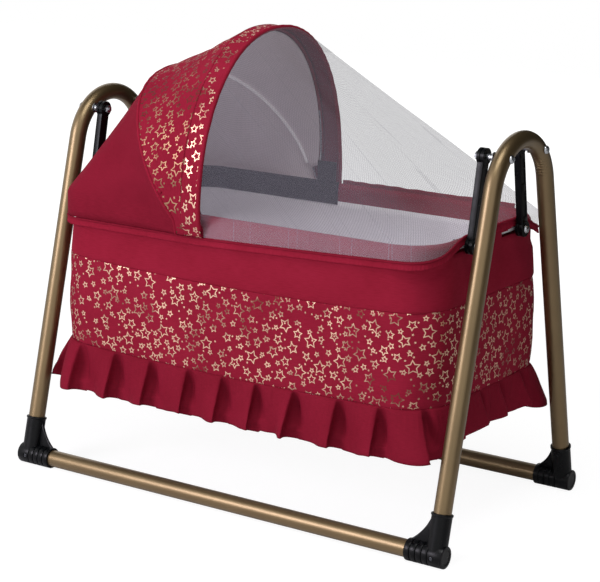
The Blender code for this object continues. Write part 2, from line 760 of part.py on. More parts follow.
def cloth_walls():
    cover = skin("cover", cover_rows(), CLOTH, closed=True)
    cuts = []
    for x, y in bolt_places():
        cuts.append(block("slot", (SLOT_DEPTH, SLOT_WIDTH, SLOT_HEIGHT),
                          (x * RING_HALF_X, y * low_pivot_y, ring_z)))
    for side in (-1, 1):
        near = side * (RING_HALF_Y + RING_TUBE_OD / 4)
        far = side * (RING_HALF_Y + cover_r + OVERRUN)
        cuts.append(bore("hole", PIN_D / 2 + GAP, (HOOD_PIN_X, near, ring_z),
                        (HOOD_PIN_X, far, ring_z), HOLE_STEPS))
    finish(moulded(cover, [], cuts), "upper_band", MAROON_CLOTH, parent=basket_hinge, smooth=True)
    band = rounded(band_half_x, band_half_y, RING_CORNER)
    rows = [sagging(band, BAND_DROP + GAP / 2, BAND_SAG, band_half_x),
            sagging(band, STAR_DROP - GAP / 2, STAR_SAG, band_half_x)]
    finish(skin("stars", rows, CLOTH, closed=True), "star_band", STAR_CLOTH, parent=basket_hinge,
           smooth=True)


def skirt():
    """A gathered valance whose pleats open from the lower seam down."""
    count = SKIRT_PLEATS * PLEAT_STEPS
    total = round_length(band_half_x, band_half_y, RING_CORNER)
    rows = []
    for share in SKIRT_ROW_SHARES:
        row = []
        for k in range(count):
            x, y, nx, ny = round_point(band_half_x, band_half_y, RING_CORNER, total * k / count)
            fold = 2 * ((k % PLEAT_STEPS) / PLEAT_STEPS) - 1
            swell = SKIRT_SWELL * (1 - fold ** SKIRT_FOLD_POWER)
            corner = SKIRT_CORNER_FLARE * abs(2 * nx * ny)
            grow = share ** SKIRT_OPEN_POWER
            top = ring_z - STAR_DROP - SKIRT_TOP_CLEAR - STAR_SAG * (1 - (x / band_half_x) ** 2)
            run = (x - SKIRT_RISE_START_X) / (band_half_x - SKIRT_RISE_START_X)
            bottom = SKIRT_BOTTOM + SKIRT_END_RISE * smoothstep(run)
            row.append(Vector((x + nx * (SKIRT_FLARE_X + swell + corner) * grow,
                               y + ny * (SKIRT_FLARE_Y + swell + corner) * grow,
                               top + (bottom - top) * share)))
        rows.append(row)
    finish(skin("skirt", rows, SKIRT_CLOTH, closed=True), "skirt", MAROON_CLOTH,
           parent=basket_hinge, smooth=True)


def basket_floor():
    """Floor cloth, hardboard base, lining walls and a crowned mattress."""
    inside = CLOTH / 2 + GAP
    floor_z = ring_z - STAR_DROP + FLOOR_CLOTH_LIFT
    sheet = plate("floor", rounded(band_half_x - inside, band_half_y - inside, RING_CORNER - inside),
                  CLOTH)
    finish(sheet, "floor_cloth", WHITE_CLOTH, (0, 0, floor_z + CLOTH / 2), basket_hinge)
    wall_low = floor_z + CLOTH + GAP
    wall_high = ring_z - FLAP_DROP - GAP
    low = rounded(band_half_x - LINING_INSET, band_half_y - LINING_INSET, RING_CORNER - LINING_INSET)
    high = rounded(RING_HALF_X - cover_r, RING_HALF_Y - cover_r, RING_CORNER - cover_r)
    rows = [[Vector((x, y, wall_high)) for x, y in high], [Vector((x, y, wall_low)) for x, y in low]]
    finish(skin("lining", rows, LINING, closed=True), "basket_lining", WHITE_CLOTH,
           parent=basket_hinge, smooth=True)
    inset = LINING_INSET + LINING / 2 + BOARD_PLAY
    board = plate("board", rounded(band_half_x - inset, band_half_y - inset, RING_CORNER - inset),
                  BOARD_THICK)
    board_z = floor_z + CLOTH + GAP
    finish(board, "base_board", BOARD, (0, 0, board_z + BOARD_THICK / 2), basket_hinge)
    half_x = band_half_x - inset - MATTRESS_PLAY
    half_y = band_half_y - inset - MATTRESS_PLAY
    rows = []
    for share, height in MATTRESS_SHARES:
        crown = MATTRESS_CROWN * (1 - share ** 2)
        outline = rounded(half_x * share, half_y * share, MATTRESS_CORNER * share)
        rows.append([Vector((x, y, MATTRESS_THICK * height + crown * (height == 1)))
                     for x, y in outline])
    work = bmesh.new()
    loops = [[work.verts.new(point) for point in row] for row in rows]
    for below, above in zip(loops, loops[1:]):
        for k, vertex in enumerate(below):
            n = (k + 1) % len(below)
            work.faces.new((vertex, below[n], above[n], above[k]))
    work.faces.new(reversed(loops[0]))
    work.faces.new(loops[-1])
    mesh = bpy.data.meshes.new("mattress")
    work.to_mesh(mesh)
    work.free()
    finish(mesh_object("mattress", mesh), "mattress", WHITE_CLOTH,
           (0, 0, board_z + BOARD_THICK + GAP), basket_hinge, smooth=True)


# Zip piping and the shared hem line
def on_hem(x, y, raise_by=0.0):
    """The hem over a point of its outline, rising to the foot and lifted past the hangers."""
    run = (x - HEM_RISE_START_X) / (hem_half_x - HEM_RISE_START_X)
    side = hem_z + HEM_FOOT_RISE * max(0, run) ** HEM_RISE_POWER
    lift = smoothstep((HEM_LIFT_START_Y - abs(y)) / (HEM_LIFT_START_Y - HEM_LIFT_FULL_Y))
    if abs(x) < hem_half_x - hem_corner:
        lift = 0
    z = side + (ring_z + HEM_END_LIFT - side) * lift
    tuck = HEM_END_TUCK * max(0, (z - ring_z) / HEM_END_LIFT) ** 2
    return Vector((x - math.copysign(tuck, x), y, z + raise_by))


def hem_point(distance):
    """The cloth's edge above the piping, at a distance round from the foot end's middle."""
    x, y, _, _ = round_point(hem_half_x, hem_half_y, hem_corner, distance)
    return on_hem(x, y, PIPING_D / 2 + HEM_CLEAR)


def zip_piping():
    outline = rounded(hem_half_x, hem_half_y, hem_corner, PIPING_SIDE_STEPS, PIPING_END_STEPS)
    points = [on_hem(x, y) for x, y in outline]
    piping = path_curve("piping", points, PIPING_D / 2, PIPING_SIDES, closed=True)
    finish(piping, "zip_piping", MAROON_CLOTH, parent=basket_hinge, smooth=True)


# Hood: wire bows, pins, cloth panels, binding and net
def arch(half_width, height, power, foot_y):
    """(y, rise) pairs over an arch from the near foot to the far one."""
    pairs = []
    for step in range(ARCH_STEPS + 1):
        angle = math.pi * step / ARCH_STEPS
        c, s = math.cos(angle), max(0.0, math.sin(angle))
        rise = s ** (2 / power)
        spread = math.copysign(abs(c) ** (2 / power), c)
        pull = 1 - (1 - foot_y / half_width) * (1 - rise) ** FOOT_PULL
        pairs.append((-half_width * spread * pull, height * rise))
    return pairs


def leaning(pairs, lean, shift=0.0):
    """An arch stood on the hood pins' axis at a lean, shifted along X near its foot."""
    top = max(rise for _, rise in pairs)
    points = []
    for y, rise in pairs:
        near = (1 - rise / top) ** FOOT_SHIFT_POWER
        points.append(Vector((HOOD_PIN_X + rise * math.sin(lean) + shift * near, y,
                              ring_z + rise * math.cos(lean))))
    return points


def bow(name, half_width, height, power, eye_y, lean, parent):
    """A wire bow with an eye at each foot."""
    points = leaning(arch(half_width, height, power, eye_y), lean)
    stand = Vector((math.sin(lean), 0, math.cos(lean)))
    near, far = (Vector((HOOD_PIN_X, side * eye_y, ring_z)) for side in (-1, 1))
    low, high = stand * BOW_EYE_D / 3, stand * BOW_EYE_D
    points = [near + low, near + high] + points[1:-1] + [far + high, far + low]
    wire = path_curve("bow", points, WIRE_D / 2, WIRE_SIDES)
    eyes, holes = [], []
    for side in (-1, 1):
        place = Vector((HOOD_PIN_X, side * eye_y, ring_z))
        half = Vector((0, WIRE_D / 2, 0))
        far = half + Vector((0, OVERRUN, 0))
        eyes.append(rod("eye", BOW_EYE_D / 2, place - half, place + half, BOLT_STEPS))
        holes.append(bore("hole", PIN_D / 2 + GAP, place - far, place + far, HOLE_STEPS))
    finish(moulded(wire, eyes, holes), name, ZINC, parent=parent, smooth=True)


def hood_pins():
    for side, label in ((-1, "front"), (1, "back")):
        reach_in = pin_seat_y - RING_HALF_Y
        pin = turned("pin", [(0, PIN_HEAD_H), (PIN_HEAD_D / 3, PIN_HEAD_H * PIN_DOME_SHARE),
                             (PIN_HEAD_D / 2, 0), (PIN_D / 2, 0), (PIN_D / 2, -reach_in),
                             (0, -reach_in)], BOLT_STEPS)
        pin.data.transform(Matrix.Rotation(-side * math.pi / 2, 4, "X"))
        finish(pin, "hood_pin_" + label, ZINC, (HOOD_PIN_X, side * pin_seat_y, ring_z),
               basket_hinge, smooth=True)


def seam(half_width, height, power, lean, lift, foot_shift, top_shift=0.0, foot_y=HOOD_FOOT_Y):
    """The cloth line over a bow, lifted clear of the wire."""
    pairs = arch(half_width + lift, height + lift, power, foot_y)
    points = leaning(pairs, lean, foot_shift - top_shift)
    return [point + Vector((top_shift, 0, 0)) for point in points]


def with_feet(points, hem_x):
    """Extend a seam line below the pins, down to the hem on both sides."""
    z = hem_z + PIPING_D
    near = Vector((hem_x, -HOOD_HEM_Y, z))
    far = Vector((hem_x, HOOD_HEM_Y, z))
    return [near] + points + [far]


def inner_line(half_width, height, power, lean):
    """The lining's line under a bow, ending just above the covered ring on both sides."""
    line = seam(half_width, height, power, lean, -lining_lift, 0, foot_y=LINING_SPREAD_Y)
    x = HOOD_PIN_X + LINING_FOOT_LIFT * math.sin(lean)
    z = ring_z + LINING_FOOT_LIFT * math.cos(lean)
    near, far = (Vector((x, side * LINING_FOOT_Y, z)) for side in (-1, 1))
    return [near] + line[1:-1] + [far]


def between(first, last, rows, sag, inset):
    """Rows of points from one seam line to another, sagging towards the cradle's inside."""
    middle = Vector((HOOD_PIN_X, 0, ring_z))
    made = []
    for k in range(rows + 1):
        row = []
        for a, b in zip(first, last):
            span = (b - a).length
            ease = min(0.5, inset / span)
            t = ease + (1 - 2 * ease) * k / rows
            point = a.lerp(b, t)
            inward = Vector((middle.x - point.x, -point.y, middle.z - point.z)).normalized()
            size = min(1.0, span / SAG_SPAN)
            row.append(point + inward * sag * hump(t) * size)
        made.append(row)
    return made


def hem_stops(start, side_steps):
    """Distances along the hem, both ways from an end's middle, closest in the corners."""
    flat = hem_half_y - hem_corner
    bend = math.pi * hem_corner / 2
    stops = [flat * 2 * k / PIPING_END_STEPS for k in range(PIPING_END_STEPS // 2 + 1)]
    stops += [flat + bend * k / CORNER_STEPS for k in range(1, CORNER_STEPS + 1)]
    side = start - flat - bend
    stops += [flat + bend + side * k / side_steps for k in range(1, side_steps + 1)]
    return [-stop for stop in reversed(stops[1:])] + stops


def along(points, share):
    """The point at a share, -1 to 1, of a line's length."""
    lengths = [0.0]
    for a, b in zip(points, points[1:]):
        lengths.append(lengths[-1] + (b - a).length)
    goal = lengths[-1] * (share + 1) / 2
    for k in range(1, len(points)):
        if goal <= lengths[k] or k == len(points) - 1:
            step = lengths[k] - lengths[k - 1]
            return points[k - 1].lerp(points[k], min(1.0, (goal - lengths[k - 1]) / step))


def tent(line, from_middle, sense, start, side_steps, power, rows):
    """Rows from the hem up over a shoulder and straight on to a seam line."""
    made = [[] for _ in range(rows + 2)]
    for stop in hem_stops(start, side_steps):
        share = math.copysign(abs(stop / start) ** power, stop)
        low = hem_point(from_middle + sense * stop)
        high = along(line, share)
        top = min(ring_z + SHOULDER_LIFT, low.z + (high.z - low.z) / 2)
        shoulder = Vector((low.x, low.y, max(top, low.z + HEM_CLEAR)))
        made[0].append(low)
        for r in range(rows + 1):
            made[r + 1].append(shoulder.lerp(high, r / rows))
    return made


def tents(rear_line, front_line):
    """The maroon rear panel, the front binding and the net, each stretched from the hem to its line."""
    total = round_length(hem_half_x, hem_half_y, hem_corner)
    back = Vector((math.cos(REAR_LEAN), 0, -math.sin(REAR_LEAN))) * -SEAM_CLEAR
    rear_line = [point + back for point in rear_line]
    reach_back = hem_half_y - hem_corner + math.pi * hem_corner / 2 + hem_half_x - hem_corner
    panel = tent(rear_line, total / 2, -1, reach_back + REAR_HEM_X, REAR_SIDE_STEPS,
                 REAR_SPREAD_POWER, REAR_RISE_STEPS)
    finish(skin("rear", panel, HOOD_CLOTH), "rear_panel", MAROON_CLOTH, parent=basket_hinge,
           smooth=True)
    binding = path_curve("binding", front_line, BINDING_D / 2, WIRE_SIDES)
    finish(binding, "front_binding", MAROON_CLOTH, parent=hood_hinge, smooth=True)
    fore = Vector((BINDING_D / 2 + SEAM_CLEAR, 0, 0))
    net_line = [point + fore for point in front_line]
    net = tent(net_line, 0, 1, reach_back - FRONT_HEM_X, NET_SIDE_STEPS, NET_SPREAD_POWER,
               NET_RISE_STEPS)
    finish(skin("net", net, NET_CLOTH), "foot_net", NET_CLOTH_WHITE, parent=basket_hinge,
           smooth=True)


def hood():
    bow("rear_bow", rear_half_width, REAR_HEIGHT, REAR_POWER, rear_eye_y, REAR_LEAN, basket_hinge)
    bow("middle_bow", middle_half_width, MIDDLE_HEIGHT, MIDDLE_POWER, middle_eye_y, MIDDLE_LEAN,
        hood_hinge)
    hood_pins()
    lift = WIRE_D / 2 + GAP + HOOD_CLOTH / 2
    rear_line = seam(rear_half_width, REAR_HEIGHT, REAR_POWER, REAR_LEAN, SEAM_LIFT, REAR_SEAM_PAD)
    middle_line = seam(middle_half_width, MIDDLE_HEIGHT, MIDDLE_POWER, MIDDLE_LEAN, SEAM_LIFT,
                       MIDDLE_SEAM_PAD)
    visor_line = seam(middle_half_width, MIDDLE_HEIGHT, MIDDLE_POWER, MIDDLE_LEAN, lift,
                      MIDDLE_SEAM_PAD)
    front_line = seam(middle_half_width, MIDDLE_HEIGHT, MIDDLE_POWER, MIDDLE_LEAN, lift,
                      FRONT_FOOT_SHIFT, FRONT_TOP_SHIFT)
    stars = between(with_feet(rear_line, REAR_HEM_X), with_feet(middle_line, MIDDLE_HEM_X),
                    PANEL_RISE_STEPS, PANEL_SAG, SEAM_CLEAR)
    finish(skin("stars", stars, HOOD_CLOTH), "star_panel", STAR_CLOTH, parent=basket_hinge,
           smooth=True)
    back_edge = with_feet(visor_line, MIDDLE_HEM_X)
    front_edge = with_feet(front_line, FRONT_HEM_X)
    visor = between(back_edge, front_edge, VISOR_RISE_STEPS, 0, SEAM_CLEAR)
    room = BINDING_D / 2 + GAP
    visor[-1] = [f.lerp(b, room / (b - f).length) for f, b in zip(front_edge, back_edge)]
    finish(skin("visor", visor, HOOD_CLOTH), "visor_panel", STAR_CLOTH, parent=hood_hinge,
           smooth=True)
    inner_rear = inner_line(rear_half_width, REAR_HEIGHT, REAR_POWER, REAR_LEAN)
    inner_middle = inner_line(middle_half_width, MIDDLE_HEIGHT, MIDDLE_POWER, MIDDLE_LEAN)
    inner = between(inner_rear, inner_middle, PANEL_RISE_STEPS, PANEL_SAG, 0)
    finish(skin("lining", inner, NET_CLOTH), "hood_lining", WHITE_CLOTH, parent=basket_hinge,
           smooth=True)
    tents(rear_line, front_line)


end_frames()
floor_rails()
feet()
hangers()
ring_tube()
cloth_walls()
skirt()
basket_floor()
zip_piping()
hood()
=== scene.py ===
"""Looks of a baby cradle: a maroon cloth basket with a net hood, swung between gold tube frames."""
import math

import bmesh
import bpy
from mathutils import Matrix, Vector, noise


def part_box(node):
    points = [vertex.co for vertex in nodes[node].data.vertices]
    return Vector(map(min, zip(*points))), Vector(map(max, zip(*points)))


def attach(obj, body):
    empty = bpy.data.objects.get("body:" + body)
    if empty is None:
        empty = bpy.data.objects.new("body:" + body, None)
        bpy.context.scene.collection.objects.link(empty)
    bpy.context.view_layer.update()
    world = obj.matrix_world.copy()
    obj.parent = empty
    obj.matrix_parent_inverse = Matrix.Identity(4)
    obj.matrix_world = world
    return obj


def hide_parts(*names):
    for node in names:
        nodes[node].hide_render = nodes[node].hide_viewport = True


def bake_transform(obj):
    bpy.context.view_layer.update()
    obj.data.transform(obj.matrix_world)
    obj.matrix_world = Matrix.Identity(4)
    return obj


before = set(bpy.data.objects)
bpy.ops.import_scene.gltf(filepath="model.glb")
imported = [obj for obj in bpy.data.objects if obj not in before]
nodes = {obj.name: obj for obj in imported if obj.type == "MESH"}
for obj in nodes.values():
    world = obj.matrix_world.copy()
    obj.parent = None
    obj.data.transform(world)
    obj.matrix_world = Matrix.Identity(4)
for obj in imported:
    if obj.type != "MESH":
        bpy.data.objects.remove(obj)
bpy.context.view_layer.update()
scene = bpy.context.scene


# Viewpoint and studio: the camera stands in front of the foot end's right, a little above the rim.
# A white floor and a white surround carry a faint shadow, and soft lamps light from the left.
PICTURE_WIDE, PICTURE_HIGH, SENSOR_MM = 600, 582, 36
MATH, VECTOR_MATH = "ShaderNodeMath", "ShaderNodeVectorMath"


def studio_view(azimuth, elevation, roll, distance, target, focal_px, centre_px):
    """A camera looking at a target; its focal length and centre are in pixels of the picture."""
    a, e, r = (math.radians(angle) for angle in (azimuth, elevation, roll))
    way = Vector((math.sin(a) * math.cos(e), -math.cos(a) * math.cos(e), math.sin(e)))
    right = Vector((math.cos(a), math.sin(a), 0))
    up = way.cross(right)
    across = right * math.cos(r) + up * math.sin(r)
    upright = up * math.cos(r) - right * math.sin(r)
    lens = bpy.data.cameras.new("studio_camera")
    lens.sensor_width = SENSOR_MM
    lens.lens = focal_px / PICTURE_WIDE * SENSOR_MM
    lens.shift_x = (PICTURE_WIDE / 2 - centre_px[0]) / PICTURE_WIDE
    lens.shift_y = (centre_px[1] - PICTURE_HIGH / 2) / PICTURE_WIDE
    lens.clip_end = 30
    camera = bpy.data.objects.new("studio_camera", lens)
    stand = Matrix((across, upright, way)).transposed().to_4x4()
    stand.translation = Vector(target) + way * distance
    camera.matrix_world = stand
    scene.collection.objects.link(camera)
    scene.camera = camera


studio_view(azimuth=33.07, elevation=13.69, roll=1.264, distance=3.619,
            target=(0.0058, 0, 0.3743), focal_px=1908, centre_px=(300.6, 288.5))


def linear(hexed):
    """An sRGB hex value as the linear colour that a socket takes."""
    parts = [int(hexed[k:k + 2], 16) / 255 for k in (0, 2, 4)]
    return tuple(v / 12.92 if v <= 0.04045 else ((v + 0.055) / 1.055) ** 2.4 for v in parts) + (1,)


def feed(node, sockets):
    """Fill sockets, by name or in order, from numbers, hex colours, outputs or nodes."""
    for key, value in sockets.items() if isinstance(sockets, dict) else enumerate(sockets):
        if isinstance(value, str):
            value = linear(value)
        elif isinstance(value, bpy.types.Node):
            value = next(output for output in value.outputs if output.enabled)
        if isinstance(value, bpy.types.NodeSocket):
            node.id_data.links.new(value, node.inputs[key])
        else:
            node.inputs[key].default_value = value


def add(tree, kind, sockets=(), **settings):
    """One node with its settings and its sockets filled."""
    node = tree.nodes.new(kind)
    for key, value in settings.items():
        setattr(node, key, value)
    feed(node, sockets)
    return node


def surface(name, hexed, roughness, metallic=0.0):
    """A new material with its node tree and shader."""
    made = bpy.data.materials.new(name)
    made.use_nodes = True
    shader = made.node_tree.nodes["Principled BSDF"]
    feed(shader, {"Base Color": hexed, "Roughness": roughness, "Metallic": metallic})
    return made, made.node_tree, shader


def aimed(place, height, front):
    """The turn that points a lamp or a card at the cradle's middle line."""
    return (Vector((0, 0, height)) - Vector(place)).to_track_quat(front, "Y")


def lamp(name, place, width, watts, hexed="ffffff"):
    """A round soft lamp aimed at the basket."""
    light = bpy.data.lights.new(name, "AREA")
    light.shape = "DISK"
    light.size = width
    light.energy = watts
    light.color = linear(hexed)[:3]
    holder = bpy.data.objects.new(name, light)
    holder.location = place
    holder.rotation_euler = aimed(place, 0.35, "-Z").to_euler()
    scene.collection.objects.link(holder)


lamp("key_lamp", (-1.6, -3.1, 1.6), 1.6, 76, "f8f1ff")
lamp("fill_lamp", (2.4, -2.8, 1.2), 2.2, 3)
lamp("top_lamp", (0.5, -1.0, 3.2), 1.8, 46)

# The surround looks white to the camera and in reflections, but lights the cloth only softly.
world = bpy.data.worlds.new("studio_surround")
scene.world = world
world.use_nodes = True
tree = world.node_tree
tree.nodes.clear()
rays = add(tree, "ShaderNodeLightPath")
soft_fill = add(tree, "ShaderNodeBackground", {"Color": "ffffff", "Strength": 0.21})
white = add(tree, "ShaderNodeBackground", {"Color": "ffffff", "Strength": 1.0})
seen = add(tree, MATH, (rays.outputs["Is Camera Ray"], rays.outputs["Is Transmission Ray"]),
           operation="ADD")
seen = add(tree, MATH, (seen, rays.outputs["Is Glossy Ray"]), operation="ADD", use_clamp=True)
shown = add(tree, "ShaderNodeMixShader", (seen, soft_fill, white))
add(tree, "ShaderNodeOutputWorld", {"Surface": shown})


def placed(name, work):
    """A finished bmesh as an object in the scene."""
    mesh = bpy.data.meshes.new(name)
    work.to_mesh(mesh)
    work.free()
    made = bpy.data.objects.new(name, mesh)
    scene.collection.objects.link(made)
    return made


# Black cards beside and above the set only show as the dark parts of reflections.
card_black = surface("card_black", "202020", 1.0)[0]
for name, place, half in (("overhead_card", (0.2, 0.4, 4.2), 3.6),
                          ("back_card", (1.2, 4.4, 1.6), 3.4),
                          ("right_card", (4.4, 0.6, 1.8), 2.4)):
    work = bmesh.new()
    bmesh.ops.create_grid(work, x_segments=1, y_segments=1, size=half)
    turn = Matrix.Translation(place) @ aimed(place, 0.4, "Z").to_matrix().to_4x4()
    bmesh.ops.transform(work, verts=work.verts, matrix=turn)
    card = placed(name, work)
    card.visible_camera = card.visible_diffuse = card.visible_shadow = False
    card.visible_transmission = False
    card.data.materials.append(card_black)

# To the camera the floor's paper fades to plain white away from the cradle, so no edge shows.
work = bmesh.new()
bmesh.ops.create_grid(work, x_segments=2, y_segments=2, size=6)
floor = placed("studio_floor", work)
floor_paper = bpy.data.materials.new("floor_paper")
floor_paper.use_nodes = True
tree = floor_paper.node_tree
tree.nodes.clear()
rays = add(tree, "ShaderNodeLightPath")
lit = add(tree, "ShaderNodeBsdfDiffuse", {"Color": "f2f2f2"})
plain = add(tree, "ShaderNodeEmission", {"Color": "ffffff", "Strength": 1.17})
spot = add(tree, "ShaderNodeTexCoord").outputs["Object"]
far = add(tree, VECTOR_MATH, (spot,), operation="LENGTH")
bare = add(tree, "ShaderNodeMapRange", (far.outputs["Value"], 0.9, 2.2, 0.78, 1))
blank = add(tree, "ShaderNodeMixShader", (bare, lit, plain))
shown = add(tree, "ShaderNodeMixShader", (rays.outputs["Is Camera Ray"], lit, blank))
add(tree, "ShaderNodeOutputMaterial", {"Surface": shown})
floor.data.materials.append(floor_paper)
scene.view_settings.view_transform = "Standard"


# End frames and floor rails: one size of steel tube, 32 mm, bent over at the top and powder coated.
# The legs push into the feet, and the rails run right through them.
SPAN, RAIL_SPREAD, RAIL_Z, RAIL_END = 0.910, 0.494, 0.0195, 0.4707
TUBE, TUBE_SIDES = 0.032, 40
BEND, BEND_Z, SPLAY, SOCKET_FLOOR = 0.103, 0.6045, 0.236593, 0.026
LEG_STEPS, BEND_STEPS, RAIL_STEPS = 6, 150, 8
WELD = 0.00001
FOOT_AWAY = math.hypot(RAIL_SPREAD / 2, BEND_Z - RAIL_Z)
LEG_TOP = FOOT_AWAY * math.cos(math.asin(BEND / FOOT_AWAY))
# The bending press leaves a run of small creases inside the back bend.
CREASE_FROM, CREASE_TO, CREASE_PITCH, CREASE_DEEP, CREASE_EDGE = 0.72, 1.28, 0.068, 0.0012, 0.3

# Powder coat with metal flakes: a satin gold skin, slightly uneven, whose flakes catch the light.
gold_coat, tree, shader = surface("gold_powder_coat", "786546", 0.38, 0.82)
spot = add(tree, "ShaderNodeTexCoord").outputs["Object"]
flakes = add(tree, "ShaderNodeTexNoise", {"Vector": spot, "Scale": 900, "Detail": 1})
uneven = add(tree, "ShaderNodeTexNoise", {"Vector": spot, "Scale": 14, "Detail": 3})
tone = add(tree, "ShaderNodeMix", data_type="RGBA")
feed(tone, {"Factor": uneven, "A": "705d40", "B": "806c4b"})
peel = add(tree, "ShaderNodeBump", {"Height": flakes, "Strength": 0.12, "Distance": 0.0004})
feed(shader, {"Base Color": tone, "Normal": peel, "Coat Weight": 0.35, "Coat Roughness": 0.3})


def piece(name, work, look, body, *stands_for, smooth=40, outward=True):
    """A finished bmesh as an object of its own, on a body in place of the CAD nodes named."""
    if outward:
        bmesh.ops.recalc_face_normals(work, faces=work.faces)
    made = placed(name, work)
    made.data.materials.append(look)
    made.data.shade_smooth()
    made.data.set_sharp_from_angle(angle=math.radians(smooth))
    if body:
        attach(made, body)
    if stands_for:
        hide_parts(*stands_for)
    return made


def tube_end(work, centre, along):
    """A circle of edges square to a direction, where a tube starts."""
    turn = Vector(along).to_track_quat("Z", "X").to_matrix().to_4x4()
    made = bmesh.ops.create_circle(work, segments=TUBE_SIDES, radius=TUBE / 2,
                                   matrix=Matrix.Translation(centre) @ turn)
    return list({edge for vert in made["verts"] for edge in vert.link_edges})


def draw_out(work, edges, shift, steps):
    """Extrude an open ring of edges in equal steps and give back its new end."""
    for step in range(steps):
        made = bmesh.ops.extrude_edge_only(work, edges=edges)["geom"]
        verts = [item for item in made if isinstance(item, bmesh.types.BMVert)]
        bmesh.ops.translate(work, verts=verts, vec=shift / steps)
        edges = [item for item in made
                 if isinstance(item, bmesh.types.BMEdge) and item.is_boundary]
    return edges


def leg_axis(distance, side):
    """A point up a leg from the rail's axis; side -1 is the front leg."""
    return Vector((0, side * (RAIL_SPREAD / 2 - distance * math.sin(SPLAY)),
                   RAIL_Z + distance * math.cos(SPLAY)))


for side, label in ((-1, "left"), (1, "right")):
    shift = Vector((side * SPAN / 2, 0, 0))
    work = bmesh.new()
    low, high = leg_axis(SOCKET_FLOOR, -1), leg_axis(LEG_TOP, -1)
    edges = draw_out(work, tube_end(work, shift + low, high - low), high - low, LEG_STEPS)
    made = bmesh.ops.spin(work, geom=edges + list({v for e in edges for v in e.verts}),
                          cent=shift + Vector((0, 0, BEND_Z)), axis=(1, 0, 0),
                          angle=-(math.pi - 2 * SPLAY), steps=BEND_STEPS)
    edges = [item for item in made["geom_last"] if isinstance(item, bmesh.types.BMEdge)]
    draw_out(work, edges, leg_axis(SOCKET_FLOOR, 1) - leg_axis(LEG_TOP, 1), LEG_STEPS)
    for vert in work.verts:
        out = Vector((0, vert.co.y, vert.co.z - BEND_Z))
        round_bend = math.atan2(out.y, out.z)
        inner = (BEND - out.length) / (TUBE / 2)
        if inner > CREASE_EDGE and CREASE_FROM < round_bend < CREASE_TO:
            run = round_bend - CREASE_FROM
            fade = math.sin(math.pi * run / (CREASE_TO - CREASE_FROM)) ** 0.5
            wave = math.sin(2 * math.pi * run / CREASE_PITCH)
            vert.co -= out.normalized() * CREASE_DEEP * wave * fade * (inner - CREASE_EDGE)
    bmesh.ops.remove_doubles(work, verts=work.verts, dist=WELD)
    bmesh.ops.holes_fill(work, edges=work.edges, sides=0)
    piece("bent_tube_" + label, work, gold_coat, "stand", "end_frame_" + label)

for side, label in ((-1, "front"), (1, "back")):
    work = bmesh.new()
    start = tube_end(work, (-RAIL_END, side * RAIL_SPREAD / 2, RAIL_Z), (1, 0, 0))
    draw_out(work, start, Vector((RAIL_END * 2, 0, 0)), RAIL_STEPS)
    bmesh.ops.holes_fill(work, edges=work.edges, sides=0)
    piece("rail_tube_" + label, work, gold_coat, "stand", "floor_rail_" + label)


# Corner feet: black nylon mouldings, a grooved barrel on the rail with a socket up the leg and a
# web between them. One screw in a round recess holds each foot to its rail.
BARREL_R, GROOVE_PITCH = 0.020, 0.0117
OUTBOARD, INBOARD = 0.0195, 0.0545
SOCKET_R, SOCKET_TOP, LIP_R = 0.0183, 0.0735, 0.0196
BORE, BORE_END, BORE_DEEP = TUBE / 2 + 0.0003, TUBE / 2 + 0.0002, 0.006
WEB_THICK, WEB_HOLLOW, WEB_STEPS, WEB_BACK, WEB_LOW = 0.0052, 0.0055, 12, -0.008, 0.008
RECESS_R, RECESS_DEEP = 0.0048, 0.0036

# Moulded nylon is near black and half dull, with a fine spark-eroded grain and rubbed patches.
black_nylon, tree, shader = surface("black_moulded_nylon", "060709", 0.36)
spot = add(tree, "ShaderNodeTexCoord").outputs["Object"]
grain = add(tree, "ShaderNodeTexNoise", {"Vector": spot, "Scale": 1400, "Detail": 2})
cloud = add(tree, "ShaderNodeTexNoise", {"Vector": spot, "Scale": 45, "Detail": 4})
rub = add(tree, "ShaderNodeMapRange", (cloud, 0.35, 0.7, 0.26, 0.42))
grained = add(tree, "ShaderNodeBump", {"Height": grain, "Strength": 0.15, "Distance": 0.0003})
feed(shader, {"Roughness": rub, "Normal": grained, "Specular IOR Level": 0.16})


def plated(name, hexed, roughness, patches, smooth, dull):
    """Plating on steel: a bright metal that is slightly cloudy."""
    made, tree, shader = surface(name, hexed, roughness, 1.0)
    spot = add(tree, "ShaderNodeTexCoord").outputs["Object"]
    cloud = add(tree, "ShaderNodeTexNoise", {"Vector": spot, "Scale": patches, "Detail": 3})
    feed(shader, {"Roughness": add(tree, "ShaderNodeMapRange", (cloud, 0.3, 0.7, smooth, dull))})
    return made


# Zinc plate is a cool bright metal; black zinc, on the foot screws, is passivated to a dark grey.
zinc_plate = plated("zinc_plated_steel", "b9bcc0", 0.28, 260, 0.2, 0.42)
black_zinc = plated("black_zinc_plated_steel", "4a4b4f", 0.35, 300, 0.3, 0.5)


def turn_profile(work, profile, steps):
    """Spin a chain of (along, radius) points about X into a closed round, and give its vertices."""
    before = set(work.verts)
    verts = [work.verts.new((along, 0, radius)) for along, radius in profile]
    edges = [work.edges.new(pair) for pair in zip(verts, verts[1:])]
    bmesh.ops.spin(work, geom=verts + edges, cent=(0, 0, 0), axis=(1, 0, 0), angle=2 * math.pi,
                   steps=steps, use_merge=True)
    made = [vert for vert in work.verts if vert not in before]
    bmesh.ops.remove_doubles(work, verts=made, dist=WELD)
    return [vert for vert in work.verts if vert not in before]


